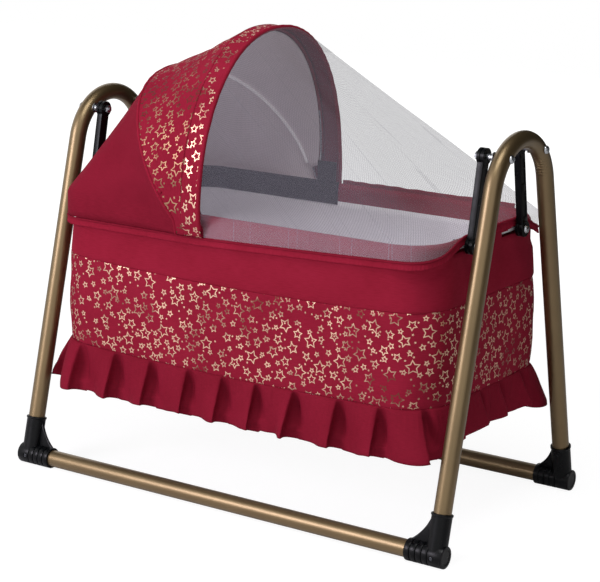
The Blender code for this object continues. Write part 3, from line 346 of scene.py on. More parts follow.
def carve(made, cutter):
    """Cut a closed shape out of a piece and keep the result."""
    bmesh.ops.recalc_face_normals(cutter, faces=cutter.faces)
    tool = placed("cutter", cutter)
    cut = made.modifiers.new("cut", "BOOLEAN")
    cut.operation = "DIFFERENCE"
    # The foot's barrel, socket and web overlap; the exact solver drops one of them at times.
    cut.solver = "FAST"
    cut.object = tool
    graph = bpy.context.evaluated_depsgraph_get()
    result = bpy.data.meshes.new_from_object(made.evaluated_get(graph))
    made.modifiers.clear()
    old, made.data = made.data, result
    name = old.name
    bpy.data.meshes.remove(old)
    result.name = name
    bpy.data.objects.remove(tool, do_unlink=True)


def moulded_foot(sx, sy, label):
    """One foot and its screw, built as the front right ones and mirrored to their own corner."""
    work = bmesh.new()
    barrel = [(OUTBOARD - 0.0008, 0), (OUTBOARD - 0.0008, 0.0135), (OUTBOARD, 0.0140),
              (OUTBOARD, BARREL_R - 0.0016), (OUTBOARD - 0.0005, BARREL_R - 0.0005),
              (OUTBOARD - 0.0016, BARREL_R)]
    for k in (4, 3, 2, 1):
        at = k * GROOVE_PITCH - INBOARD
        barrel += [(at + 0.0018, BARREL_R), (at + 0.0011, BARREL_R - 0.0002),
                   (at + 0.0006, BARREL_R - 0.0017), (at - 0.0006, BARREL_R - 0.0017),
                   (at - 0.0011, BARREL_R - 0.0002), (at - 0.0018, BARREL_R)]
    barrel += [(0.0012 - INBOARD, BARREL_R), (0.0003 - INBOARD, BARREL_R - 0.0004),
               (-INBOARD, BARREL_R - 0.0012), (-INBOARD, BORE),
               (BORE_DEEP - INBOARD, BORE_END), (BORE_DEEP - INBOARD, 0)]
    turn_profile(work, barrel, 56)
    lean = Matrix.Rotation(-SPLAY, 4, "X")
    socket = [(0, 0), (0, SOCKET_R), (SOCKET_TOP - 0.0052, SOCKET_R),
              (SOCKET_TOP - 0.0040, LIP_R - 0.0004), (SOCKET_TOP - 0.0034, LIP_R),
              (SOCKET_TOP - 0.0008, LIP_R), (SOCKET_TOP, LIP_R - 0.0008), (SOCKET_TOP, BORE),
              (SOCKET_TOP - BORE_DEEP, BORE_END), (SOCKET_TOP - BORE_DEEP, 0)]
    made = turn_profile(work, socket, 56)
    bmesh.ops.transform(work, verts=made, matrix=lean @ Matrix.Rotation(-math.pi / 2, 4, "Y"))
    low = Vector((0.0015 - INBOARD, 0, BARREL_R - 0.0018))
    high = Vector((0.0012 - SOCKET_R, 0, SOCKET_TOP - 0.0050))
    inward = Vector((high.z - low.z, 0, low.x - high.x)).normalized()
    web = []
    for step in range(WEB_STEPS + 1):
        t = step / WEB_STEPS
        web.append(work.verts.new(low.lerp(high, t) + inward * WEB_HOLLOW * 4 * t * (1 - t)))
    web += [work.verts.new((WEB_BACK, 0, high.z)), work.verts.new((WEB_BACK, 0, WEB_LOW)),
            work.verts.new((low.x, 0, WEB_LOW))]
    face = work.faces.new(web)
    bmesh.ops.translate(work, verts=web, vec=(0, -WEB_THICK / 2, 0))
    grown = bmesh.ops.extrude_face_region(work, geom=[face])["geom"]
    far = [item for item in grown if isinstance(item, bmesh.types.BMVert)]
    bmesh.ops.translate(work, verts=far, vec=(0, WEB_THICK, 0))
    rim = [edge for edge in work.edges if len(set(edge.verts) & set(web + far)) == 2
           and len({vert.co.y > 0 for vert in edge.verts}) == 1]
    bmesh.ops.transform(work, verts=web + far, matrix=lean)
    bmesh.ops.bevel(work, geom=rim, offset=0.0008, affect="EDGES", segments=2, profile=0.5,
                    material=-1)
    for vert in work.verts:
        vert.co.z = max(vert.co.z, -RAIL_Z)
    corner = Matrix.Translation((sx * SPAN / 2, sy * RAIL_SPREAD / 2, RAIL_Z))
    bmesh.ops.transform(work, verts=work.verts, matrix=corner @ Matrix.Diagonal((sx, -sy, 1, 1)))
    made = piece("moulded_foot_" + label, work, black_nylon, "stand", "foot_" + label, smooth=32)
    cutter = bmesh.new()
    place = Matrix.Translation((sx * SPAN / 2, sy * (RAIL_SPREAD / 2 + BARREL_R), RAIL_Z))
    bmesh.ops.create_cone(cutter, cap_ends=True, segments=32, radius1=RECESS_R, radius2=RECESS_R,
                          depth=RECESS_DEEP, matrix=place @ Matrix.Rotation(math.pi / 2, 4, "X"))
    carve(made, cutter)
    head = bmesh.new()
    pan = [(0.0002, 0), (0.0002, 0.0009), (0.0009, 0.0011), (0.0014, 0.0024), (0.0011, 0.0032),
           (0.0003, 0.0036), (-0.0010, 0.0036), (-0.0010, 0)]
    turn_profile(head, pan, 28)
    face = Matrix.Translation((0, -sy * 0.0016, 0)) @ Matrix.Rotation(sy * math.pi / 2, 4, "Z")
    bmesh.ops.transform(head, verts=head.verts, matrix=place @ face)
    piece("pan_screw_" + label, head, black_zinc, "stand", "foot_screw_" + label)


CORNERS = [(sx, sy, row + "_" + along) for sx, along in ((-1, "left"), (1, "right"))
           for sy, row in ((-1, "front"), (1, "back"))]
for sx, sy, label in CORNERS:
    moulded_foot(sx, sy, label)


# Hangers: four black nylon links that turn on bolts, two from each end frame. Each is a bar with a
# sunk panel in both faces between round eyes, and each eye has a groove round its rim.
LINK_PITCH, LINK_X, LINK_SPLAY = 0.1557, 0.418, 0.185959
LINK_THICK, LINK_WIDE, EYE_HALF = 0.0125, 0.0215, 0.0075
PANEL_END, PANEL_BRIDGE = 0.019, 0.004
TOP_Y, TOP_Z = 0.0662071, 0.6834026
LOW_Y, LOW_Z = 0.095, 0.530388
UPPER_BOLT, LOWER_BOLT = (0.4713, 0.0698), (0.4258, 0.046)


def mirrored(half):
    """A profile of (along, radius) points with the same points again on its other side."""
    return half + [(-along, radius) for along, radius in reversed(half)]


def link(sx, sy, label):
    """One hanger link, hung from its upper bolt and leaning to its lower one."""
    work = bmesh.new()
    made = bmesh.ops.create_cube(work, size=1)["verts"]
    bmesh.ops.scale(work, verts=made, vec=(LINK_THICK, LINK_WIDE, LINK_PITCH - 0.020))
    bmesh.ops.translate(work, verts=made, vec=(0, 0, -LINK_PITCH / 2))
    for z in (-PANEL_END, PANEL_END - LINK_PITCH, PANEL_BRIDGE - LINK_PITCH / 2,
              -PANEL_BRIDGE - LINK_PITCH / 2):
        bmesh.ops.bisect_plane(work, geom=work.verts[:] + work.edges[:] + work.faces[:],
                               plane_co=(0, 0, z), plane_no=(0, 0, 1))
    panels = [face for face in work.faces if abs(face.normal.x) > 0.9
              and 0.012 < abs(face.calc_center_median().z + LINK_PITCH / 2) < 0.05]
    for face in panels:
        bmesh.ops.inset_region(work, faces=[face], thickness=0.0042, depth=0)
        bmesh.ops.inset_region(work, faces=[face], thickness=0.0006, depth=-0.0014)
    edges = [edge for edge in work.edges if len(edge.link_faces) == 2
             and edge.calc_face_angle(0) > 1.2 and abs(edge.verts[0].co.y) > 0.0105]
    bmesh.ops.bevel(work, geom=edges, offset=0.0011, affect="EDGES", segments=3, profile=0.5,
                    material=-1)
    eye = mirrored([(EYE_HALF, 0), (EYE_HALF, 0.0092), (0.0070, 0.0098), (0.0070, 0.0118),
                    (EYE_HALF, 0.0124), (EYE_HALF, 0.0143), (0.0068, 0.0150), (0.0016, 0.0150),
                    (0.0007, 0.0137)])
    turn_profile(work, eye, 48)
    low = turn_profile(work, eye, 48)
    bmesh.ops.translate(work, verts=low, vec=(0, 0, -LINK_PITCH))
    bmesh.ops.transform(work, verts=work.verts,
                        matrix=Matrix.Translation((sx * LINK_X, sy * TOP_Y, TOP_Z))
                        @ Matrix.Rotation(sy * LINK_SPLAY, 4, "X"))
    row = "front" if sy < 0 else "back"
    piece("nylon_link_" + label, work, black_nylon, row + "_hangers", "hanger_" + label, smooth=32)


def turned_part(name, profile, place, sx, body, *stands_for):
    """A zinc-plated part turned about X, facing out at its own end of the cradle."""
    work = bmesh.new()
    turn_profile(work, profile, 32)
    bmesh.ops.transform(work, verts=work.verts,
                        matrix=Matrix.Translation(place) @ Matrix.Diagonal((sx, 1, 1, 1)))
    piece(name, work, zinc_plate, body, *stands_for, smooth=35)


def button_bolt(length):
    """The profile of a domed bolt with a socket in its head; its shank runs inwards."""
    return [(0.0022, 0), (0.0022, 0.0022), (0.0046, 0.0026), (0.0047, 0.0032), (0.0042, 0.0048),
            (0.0030, 0.0063), (0.0014, 0.0074), (0.0003, 0.0077), (0, 0.0070), (0, 0.0040),
            (-length, 0.0040), (-length, 0)]


SPACER_HALF = (SPAN / 2 - TUBE / 2 - LINK_X - EYE_HALF) / 2 - 0.0002
SPACER_X = (SPAN / 2 - TUBE / 2 + LINK_X + EYE_HALF) / 2
flanged_spacer = [(SPACER_HALF, 0.0043), (SPACER_HALF, 0.0091), (SPACER_HALF - 0.0004, 0.0095),
                  (SPACER_HALF - 0.0014, 0.0095), (SPACER_HALF - 0.0018, 0.0090),
                  (SPACER_HALF - 0.0020, 0.0062), (0.0004 - SPACER_HALF, 0.0060),
                  (-SPACER_HALF, 0.0056), (-SPACER_HALF, 0.0043), (SPACER_HALF, 0.0043)]
for sx, sy, label in CORNERS:
    link(sx, sy, label)
    turned_part("frame_bolt_" + label, button_bolt(UPPER_BOLT[1]),
                (sx * UPPER_BOLT[0], sy * TOP_Y, TOP_Z), sx, "stand", "upper_bolt_" + label)
    turned_part("ring_bolt_" + label, button_bolt(LOWER_BOLT[1]),
                (sx * LOWER_BOLT[0], sy * LOW_Y, LOW_Z), sx, "basket", "lower_bolt_" + label)
    turned_part("flanged_spacer_" + label, flanged_spacer, (sx * SPACER_X, sy * TOP_Y, TOP_Z), sx,
                "stand", "spacer_" + label)


def dress(name, look):
    """Give a CAD piece that shows as it is its real finish."""
    nodes[name].data.materials.clear()
    nodes[name].data.materials.append(look)


for name in nodes:
    if "_nut_" in name:
        dress(name, zinc_plate)


# Basket walls: one loop of maroon polyester over the ring, a loop of star print below it, both sewn
# from flat strips with a turned seam between them. The cover has a slot for each hanger bolt.
RING_X, RING_Y, RING_Z, RING_R = 0.396, 0.2117, 0.530388, 0.080
BAND_X, BAND_Y, BAND_R = 0.414, 0.2195, 0.080
BAND_DROP, BAND_SAG = 0.102, 0.013
STAR_DROP, STAR_SAG = 0.273, 0.009
COVER_R, COVER_DROP = 0.009628, 0.036
SLOT_Y, SLOT_HALF, SLOT_GAP, SLOT_LOW = 0.089, 0.052, 0.0078, 0.0044
FLAT, SIDE, BENT = BAND_Y - BAND_R, 2 * (BAND_X - BAND_R), math.pi * BAND_R / 2
ROUND = 4 * (BAND_X + BAND_Y - 2 * BAND_R) + 2 * math.pi * BAND_R

# White powder coat on the ring, a dull even skin that shows in the cover's slots.
white_coat, tree, shader = surface("white_powder_coat", "e4e4e6", 0.45)
spot = add(tree, "ShaderNodeTexCoord").outputs["Object"]
peel = add(tree, "ShaderNodeTexNoise", {"Vector": spot, "Scale": 700, "Detail": 2})
skin = add(tree, "ShaderNodeBump", {"Height": peel, "Strength": 0.1, "Distance": 0.0003})
feed(shader, {"Normal": skin})


def round_at(half_x, half_y, corner, share):
    """Point and outward way at a share of the way round, from the foot end's middle to the back."""
    run = (share % 1) * ROUND
    back = 1 if run <= ROUND / 2 else -1
    run = min(run, ROUND - run)
    if run <= FLAT:
        x, y, nx, ny = half_x, (half_y - corner) * run / FLAT, 1, 0
    elif run <= FLAT + BENT:
        nx, ny = math.cos((run - FLAT) / BAND_R), math.sin((run - FLAT) / BAND_R)
        x, y = half_x - corner + corner * nx, half_y - corner + corner * ny
    elif run <= FLAT + BENT + SIDE:
        x, y, nx, ny = (half_x - corner) * (1 - 2 * (run - FLAT - BENT) / SIDE), half_y, 0, 1
    elif run <= FLAT + 2 * BENT + SIDE:
        angle = math.pi / 2 + (run - FLAT - BENT - SIDE) / BAND_R
        nx, ny = math.cos(angle), math.sin(angle)
        x, y = corner - half_x + corner * nx, half_y - corner + corner * ny
    else:
        x, y, nx, ny = -half_x, (half_y - corner) * (ROUND / 2 - run) / FLAT, -1, 0
    return Vector((x, back * y, 0)), Vector((nx, back * ny, 0))


def cloth(name, across, down, shape, flat, look, body, *stands_for, thick=0.0015, inside=None,
          closed=False, turned=False, slots=None):
    """A grid whose crossings are moved to their places; its UV map is the flat cut in metres."""
    work = bmesh.new()
    bmesh.ops.create_grid(work, x_segments=across, y_segments=down, size=0.5)
    cut = work.loops.layers.uv.new("cut")
    for face in work.faces:
        for loop in face.loops:
            u, v = loop.vert.co.x + 0.5, loop.vert.co.y + 0.5
            loop[cut].uv = flat(u, v) if callable(flat) else (u * flat[0], v * flat[1])
    for vert in work.verts:
        vert.co = shape(vert.co.x + 0.5, vert.co.y + 0.5)
    if slots:
        open_faces = [face for face in work.faces if slots(face.calc_center_median())]
        bmesh.ops.delete(work, geom=open_faces, context="FACES")
    if closed:
        bmesh.ops.remove_doubles(work, verts=work.verts, dist=2 * WELD)
    if turned:
        bmesh.ops.reverse_faces(work, faces=work.faces)
    made = piece(name, work, look, body, *stands_for, smooth=180, outward=False)
    if inside:
        made.data.materials.append(inside)
    if thick:
        shell = made.modifiers.new("thickness", "SOLIDIFY")
        shell.thickness = thick
        shell.offset = 0
        if inside:
            shell.material_offset = 1
    return made


def between_rows(rows, share):
    """Sizes at a share of the way down a list of rows."""
    spot = share * (len(rows) - 1)
    k = min(int(spot), len(rows) - 2)
    return [a + (b - a) * (spot - k) for a, b in zip(rows[k], rows[k + 1])]


def ripple(point, size, depth, seed=0.0):
    """Soft uneven creasing of a cloth, in metres."""
    return noise.noise(point / size + Vector((seed, 0, 0))) * depth


def luck_at(x, y, z):
    """An uneven value from -1 to 1 that is the same each run."""
    return noise.noise(Vector((x, y, z)))


def bolt_slot(spot):
    """True inside the slots that the cover has in each end for the hanger bolts."""
    gap = SLOT_GAP * (1 - ((abs(spot.y) - SLOT_Y) / SLOT_HALF) ** 2)
    return abs(spot.x) > RING_X + 0.003 and abs(spot.z - RING_Z + SLOT_LOW) < gap


def wall_point(rows, u, v, depth):
    """A wall that follows rows of half sizes, corner, drop and sag, with creases at the corners."""
    half_x, half_y, corner, drop, sag = between_rows(rows, v)
    point, way = round_at(half_x, half_y, corner, u)
    point.z = RING_Z - drop - sag * (1 - min(1, abs(point.x) / BAND_X) ** 2)
    waves = ripple(point, 0.055, depth, 3.1) + ripple(point, 0.019, depth * 0.35, 7.7)
    pull = abs(way.x * way.y) * 2 * min(1, drop / 0.05)
    return point + way * (waves + pull * 0.0026 * luck_at(u * 70, v * 1.5, 12.5))


def cover_row(out, drop):
    return RING_X + out, RING_Y + out, RING_R + out, drop, 0


cover_rows = [cover_row(-COVER_R, 0.040), cover_row(-COVER_R, 0.014)]
for k in range(9):
    angle = math.pi * (1 - k / 8)
    cover_rows.append(cover_row(COVER_R * math.cos(angle), -COVER_R * math.sin(angle)))
cover_rows += [cover_row(COVER_R, 0.018), cover_row(COVER_R, COVER_DROP)]
for share in (0.25, 0.5, 0.75, 0.94):
    cover_rows.append((RING_X + COVER_R + (BAND_X - RING_X - COVER_R) * share,
                       RING_Y + COVER_R + (BAND_Y - RING_Y - COVER_R) * share, BAND_R,
                       COVER_DROP + (BAND_DROP - COVER_DROP) * share, BAND_SAG * share))
cover_rows.append((BAND_X - 0.0012, BAND_Y - 0.0012, BAND_R, BAND_DROP, BAND_SAG))

star_rows = [(BAND_X - 0.0006, BAND_Y - 0.0006, BAND_R, BAND_DROP, BAND_SAG),
             (BAND_X + 0.0002, BAND_Y + 0.0002, BAND_R, BAND_DROP + 0.008, BAND_SAG)]
for share in (0.2, 0.4, 0.6, 0.8, 0.96):
    belly = 0.002 * math.sin(math.pi * share)
    star_rows.append((BAND_X + belly, BAND_Y + belly, BAND_R,
                      BAND_DROP + (STAR_DROP - BAND_DROP) * share,
                      BAND_SAG + (STAR_SAG - BAND_SAG) * share))
star_rows.append((BAND_X - 0.001, BAND_Y - 0.001, BAND_R, STAR_DROP, STAR_SAG))


# Polyester plain weave, dyed: dull, with a little sheen on white and fine slubs in its yarn.
# The weave is 0.5 mm in the real cloth and drawn at 1.3 mm, which just shows. A wave texture
# repeats each millimetre at a scale of 314.
THREAD_MM, WAVE_SCALE = 1.3, 314


def woven(name, lit, deep, sheen=0.0, painted_glow=0.0):
    """A woven cloth between two tones, with its tree, shader, tone and flat cut."""
    made, tree, shader = surface(name, lit, 0.78)
    cut = add(tree, "ShaderNodeUVMap", uv_map="cut")
    spot = add(tree, "ShaderNodeTexCoord").outputs["Object"]
    slub = add(tree, "ShaderNodeMapping", {"Vector": cut, "Scale": (60, 900, 1)})
    streak = add(tree, "ShaderNodeTexNoise", {"Vector": slub, "Scale": 1, "Detail": 2})
    cloud = add(tree, "ShaderNodeTexNoise", {"Vector": spot, "Scale": 9, "Detail": 3})
    both = add(tree, MATH, (streak, cloud), operation="ADD")
    span = add(tree, "ShaderNodeMapRange", (both, 0.7, 1.3, 0, 1))
    tone = add(tree, "ShaderNodeMix", data_type="RGBA")
    feed(tone, {"Factor": span, "A": deep, "B": lit})
    threads = [add(tree, "ShaderNodeTexWave", {"Vector": cut, "Scale": WAVE_SCALE / THREAD_MM,
                                               "Distortion": 0.6}, bands_direction=way)
               for way in ("X", "Y")]
    grid = add(tree, MATH, [thread.outputs["Fac"] for thread in threads], operation="MULTIPLY")
    raised = add(tree, "ShaderNodeBump", {"Height": grid, "Strength": 0.25, "Distance": 0.0003})
    feed(shader, {"Base Color": tone, "Normal": raised, "Sheen Weight": sheen,
                  "Sheen Roughness": 0.4, "Specular IOR Level": 0.05})
    # A glow of the cloth's own colour is painted light.
    if painted_glow:
        feed(shader, {"Emission Color": tone, "Emission Strength": painted_glow})
    return made, tree, shader, tone, cut


maroon_cloth = woven("maroon_polyester", "971f36", "87182c")[0]
# A darker copy of the same maroon cloth, as painted shade, for the skirt, the hem cord and the
# hood's rear panel.
maroon_painted_shade = woven("maroon_polyester_painted_shade", "861a2f", "761426")[0]
white_cloth = woven("white_polyester_lining", "eeecf0", "dfdde3", 0.1)[0]
# The inside walls glow faintly: painted light for the light that reaches down into the basket.
inner_white = woven("white_polyester_walls_painted_glow", "f4f0f3", "e6e2e7", 0.1, 0.08)[0]

# Star print: outline stars of three sizes and small dots in hot-pressed gold foil on maroon cloth.
# The foil is a thin mirror, and its colour carries a painted reflection: random patches of stars
# are painted pale gold, as where they catch the lamps, and others brown, as where they reflect only
# shade.
STAR_PITCH, DOT_PITCH, PRINT_TURN = 0.0450, 0.0151, 0.37
STAR_VALLEY = 0.52
# Each layer: pitch, shift, tip sizes, shares, jitter, line width, and whether its stars are solid.
STAR_LAYERS = (
    (STAR_PITCH, (0.0, 0.0), (0.0104, 0.0122, 0.0142), (0.97, 0.75, 0.50), 0.14, 0.0018, False),
    (STAR_PITCH, (0.5, 0.5), (0.0070, 0.0088, 0.0104), (0.95, 0.70, 0.35), 0.16, 0.0017, False),
    (STAR_PITCH, (0.5, 0.0), (0.0060, 0.0070), (0.88, 0.4), 0.24, 0.0016, False),
    (STAR_PITCH, (0.0, 0.5), (0.0060, 0.0070), (0.88, 0.4), 0.24, 0.0016, False),
    (DOT_PITCH, (0.007 / DOT_PITCH, 0.004 / DOT_PITCH), (0.0024,), (0.55,), 0.7, 0.001, True))


def star_layer(tree, flat, pitch, shift, sizes, shares, jitter, line, solid):
    """The mask of one layer of stars on a flat cut, with at most one star in each square."""
    shift = (shift[0] * pitch, shift[1] * pitch, 0)
    moved = add(tree, VECTOR_MATH, (flat, shift), operation="ADD")
    cells = add(tree, VECTOR_MATH, (moved, (pitch, pitch, 1)), operation="DIVIDE")
    split = add(tree, "ShaderNodeSeparateXYZ", (cells,)).outputs
    corner = [add(tree, MATH, (split[k],), operation="FLOOR") for k in (0, 1)]
    cell = add(tree, "ShaderNodeCombineXYZ", (*corner, 300 * shift[0] + 700 * shift[1]))
    chance = add(tree, "ShaderNodeTexWhiteNoise", (cell,), noise_dimensions="3D")
    lot = add(tree, "ShaderNodeSeparateColor", (chance.outputs["Color"],)).outputs
    near = []
    for k in (0, 1):
        inside = add(tree, MATH, (split[k], corner[k]), operation="SUBTRACT")
        off = add(tree, MATH, (lot[k], -jitter, jitter / 2 - 0.5), operation="MULTIPLY_ADD")
        centred = add(tree, MATH, (inside, off), operation="ADD")
        near.append(add(tree, MATH, (centred, pitch), operation="MULTIPLY"))
    spin = add(tree, MATH, (lot[2], 2 * math.pi), operation="MULTIPLY")
    bearing = add(tree, MATH, (near[1], near[0]), operation="ARCTAN2")
    angle = add(tree, MATH, (bearing, spin), operation="ADD")
    fifth = add(tree, MATH, (angle, math.pi / 5, -math.pi / 5), operation="WRAP")
    away = add(tree, MATH, (fifth,), operation="ABSOLUTE")
    squares = [add(tree, MATH, (value, 2), operation="POWER") for value in near]
    reach = add(tree, MATH, (add(tree, MATH, squares, operation="ADD"),), operation="SQRT")
    tip = sizes[0]
    for size, share in zip(sizes[1:], shares[1:]):
        pick = add(tree, MATH, (chance, share), operation="LESS_THAN")
        tip = add(tree, "ShaderNodeMix", {"Factor": pick, "A": tip, "B": size})
    # The edge runs from the tip to a valley nearer the middle, a tenth of a turn further on.
    run_x = STAR_VALLEY * math.cos(math.pi / 5) - 1
    run_y = STAR_VALLEY * math.sin(math.pi / 5)
    length = math.hypot(run_x, run_y)
    cosine = add(tree, MATH, (away,), operation="COSINE")
    sine = add(tree, MATH, (away,), operation="SINE")
    along = add(tree, MATH, (reach, cosine), operation="MULTIPLY")
    aside = add(tree, MATH, (reach, sine), operation="MULTIPLY")
    short = add(tree, MATH, (along, tip), operation="SUBTRACT")
    part = add(tree, MATH, (short, run_y / length), operation="MULTIPLY")
    edge = add(tree, MATH, (aside, -run_x / length, part), operation="MULTIPLY_ADD")
    if not solid:
        middle = add(tree, MATH, (edge, line / 2), operation="ADD")
        edge = add(tree, MATH, (middle,), operation="ABSOLUTE")
    mask = add(tree, MATH, (edge, 0 if solid else line / 2), operation="LESS_THAN")
    there = add(tree, MATH, (chance, shares[0]), operation="LESS_THAN")
    return add(tree, MATH, (mask, there), operation="MULTIPLY")


def star_print(name, foil, foil_in_painted_shade, painted_shade_below, painted_shine_above, polish):
    """Maroon cloth printed with foil stars, with a painted reflection: pale gold in some patches
    and brown, painted shade, in others.
    """
    made, tree, shader, tone, cut = woven(name, "951f36", "85182d")
    flat = add(tree, "ShaderNodeMapping", {"Vector": cut, "Rotation": (0, 0, PRINT_TURN)})
    mask = 0
    for layer in STAR_LAYERS:
        mask = add(tree, MATH, (mask, star_layer(tree, flat, *layer)), operation="MAXIMUM")
    spot = add(tree, "ShaderNodeTexCoord").outputs["Object"]
    moved = add(tree, "ShaderNodeMapping", {"Vector": spot, "Location": (0.3, 0.1, 0.2)})
    patch = add(tree, "ShaderNodeTexNoise", {"Vector": moved, "Scale": 11, "Detail": 3,
                                             "Roughness": 0.6})
    # Random patches choose between the painted-shade brown and the painted-highlight pale gold.
    turn = add(tree, "ShaderNodeMapRange", (patch, painted_shade_below, painted_shine_above, 0, 1))
    gold, mix = (add(tree, "ShaderNodeMix", data_type="RGBA") for _ in range(2))
    feed(gold, {"Factor": turn, "A": foil_in_painted_shade, "B": foil})
    feed(mix, {"Factor": mask, "A": tone, "B": gold})
    metal = add(tree, MATH, (mask, 0.85), operation="MULTIPLY")
    dull = add(tree, "ShaderNodeMapRange", (mask, 0, 1, 0.78, polish))
    feed(shader, {"Base Color": mix, "Metallic": metal, "Roughness": dull})
    return made


star_cloth = star_print("star_foil_print", "e0bca0", "6e4034", 0.34, 0.52, 0.36)
# On the hood the foil's painted reflection is darker and browner: painted shade for the hood's
# dimmer stars.
hood_star_cloth = star_print("star_foil_print_hood", "a88468", "5a3428", 0.44, 0.60, 0.46)

upper_band = cloth("upper_band_cloth", 480, (len(cover_rows) - 1) * 2,
                   lambda u, v: wall_point(cover_rows, u, v, 0.0009), (ROUND, 0.18), maroon_cloth,
                   "basket", "upper_band", thick=0.002, closed=True, turned=True, slots=bolt_slot)
dress("basket_ring", white_coat)
star_band = cloth("star_band_cloth", 480, (len(star_rows) - 1) * 4,
                  lambda u, v: wall_point(star_rows, u, v, 0.0016),
                  lambda u, v: (u * ROUND, between_rows(star_rows, v)[3]), star_cloth,
                  "basket", "star_band", thick=0.002, closed=True, turned=True)


# Skirt: a strip of the maroon cloth gathered into pleats at the lower seam, with a free turned hem.
# The pleats lean one way: each stands out slowly from a fold line and turns back sharply.
SKIRT_LOW, SKIRT_FULL = 0.163, 1.35
PLEATS, PLEAT_START, PLEAT_LEAN, PLEAT_UNEVEN, PLEAT_OVERHANG = 29, 19.577, 0.17, 0.24, 0.17
LEG_ROOM, LEG_GIVE = 0.4295, 0.008


def ease(value):
    """A smooth step from 0 to 1."""
    value = min(max(value, 0.0), 1.0)
    return value * value * (3 - 2 * value)


def skirt_point(u, v):
    """A place on the skirt, v from its seam to its hem."""
    point, way = round_at(BAND_X, BAND_Y, BAND_R, u)
    top = RING_Z - STAR_DROP - STAR_SAG * (1 - (point.x / BAND_X) ** 2)
    low = SKIRT_LOW
    if point.x > 0.34:
        low += 0.025 * ease((0.205 - abs(point.y)) / 0.085)
    place = u * PLEATS - PLEAT_START
    line = round(place)
    place += (PLEAT_UNEVEN * luck_at(line % PLEATS * 1.7, 0.5, 0)
              * math.cos(math.pi * (place - line)) ** 2) - PLEAT_LEAN * v
    fold = place % 1
    luck = luck_at(math.floor(place) % PLEATS * 1.3, 4.5, 0)
    # The fold's edge hangs over: the cloth turns back under it to where the next pleat starts.
    ridge = 0.90 - 0.09 * v
    back = (fold - ridge) / (1 - ridge)
    stand = ease(fold / ridge) ** 1.35 if fold < ridge else (1 - back) ** 2.2
    under = -PLEAT_OVERHANG * back * (1 - back) * 4 if fold > ridge else 0
    open_up = min(1, v / 0.9) ** 0.85
    swell = (0.021 + 0.010 * abs(way.y)) * (1 + 0.45 * luck) * stand * open_up
    # Near the seam the cloth beside the fold is tucked in behind the seam line.
    off = fold - 1 if fold > 0.5 else fold
    tuck = 0.013 * math.exp(-(off / 0.11) ** 2) * math.sin(math.pi * min(1, v / 0.8)) ** 0.7
    pucker = 0.0012 * luck_at(u * 420, 2.5, 0) * math.sin(math.pi * min(1, v / 0.5))
    soft = 0.0030 * luck_at(u * 95, 7.5, v * 1.2) * v
    corner = 0.015 * abs(2 * way.x * way.y)
    flare = (0.003 + 0.003 * abs(way.y) + corner) * v ** 0.6 - tuck
    hem = (0.004 * luck + 0.007 * stand + 0.003 * luck_at(u * 60, 1.5, 0)) * v
    aside = Vector((-way.y, way.x, 0)) * under * ROUND / PLEATS * open_up
    spot = point + aside + way * (flare + swell + pucker + soft)
    # At the head end the pleats that swing past the legs stand out less.
    over = -spot.x - LEG_ROOM
    if over > 0:
        held = LEG_GIVE * (1 - math.exp(-over / LEG_GIVE))
        spot.x += (over - held) * ease((0.207 - abs(spot.y)) / 0.027)
    return Vector((spot.x, spot.y, top + (low + hem - top) * v))


# The skirt uses the darker copy of the maroon cloth: painted shade.
skirt = cloth("skirt_cloth", 1450, 20, skirt_point, (ROUND * SKIRT_FULL, 0.094), maroon_painted_shade,
              "basket", "skirt", thick=0.0012, closed=True, turned=True)


# Hem: where the hood and net meet the basket a flat zip band runs right round, with a cord piped
# along it. It stands out at the four corners, dips at the sides and passes above the hanger bolts.
HEM_X, HEM_Y, HEM_Z, HEM_R = 0.408728, 0.224428, 0.498388, 0.061
HEM_LOW_X, HEM_RISE, HEM_TOP = -0.090, 0.018, RING_Z + 0.017
STITCH = 0.007


def hem_point(u, lift=0.0):
    """A place on the hem and its outward way."""
    point, way = round_at(HEM_X, HEM_Y, HEM_R, u)
    run = max(0, (point.x - HEM_LOW_X) / (HEM_X - HEM_LOW_X))
    side = HEM_Z + HEM_RISE * run ** 1.2
    start, width = (0.224, 0.140) if point.y < 0 < point.x else (0.196, 0.090)
    past = ease((start - abs(point.y)) / width) if abs(point.x) >= HEM_X - HEM_R else 0
    z = side + (HEM_TOP - side) * past
    tuck = 0.002 * max(0, (z - RING_Z) / 0.015) ** 2
    return Vector((point.x - math.copysign(tuck, point.x), point.y, z + lift)), way


def swept(name, points, radius, sides, look, body, *stands_for, closed=False, pucker=0.0):
    """A round cord through points, with stitch puckers along it."""
    work = bmesh.new()
    cut = work.loops.layers.uv.new("cut")
    count, rings, far = len(points), [], 0.0
    for k, point in enumerate(points):
        before = points[(k - 1) % count] if closed or k else point
        after = points[(k + 1) % count] if closed or k < count - 1 else point
        way = (after - before).normalized()
        aside = way.cross(Vector((0, 0, 1))).normalized()
        far += (point - before).length
        swell = radius * (1 + pucker * math.sin(far / STITCH * 2 * math.pi))
        turn = Matrix((aside * swell, aside.cross(way) * swell, way)).transposed().to_4x4()
        made = bmesh.ops.create_circle(work, segments=sides, radius=1,
                                       matrix=Matrix.Translation(point) @ turn)
        rings.append(list({edge for vert in made["verts"] for edge in vert.link_edges}))
    for k in range(count if closed else count - 1):
        bmesh.ops.bridge_loops(work, edges=rings[k] + rings[(k + 1) % count])
    if not closed:
        bmesh.ops.holes_fill(work, edges=work.edges, sides=0)
    bmesh.ops.recalc_face_normals(work, faces=work.faces)
    for face in work.faces:
        for loop in face.loops:
            loop[cut].uv = (loop.vert.co.x + loop.vert.co.y, loop.vert.co.z)
    return piece(name, work, look, body, *stands_for, smooth=180, outward=False)


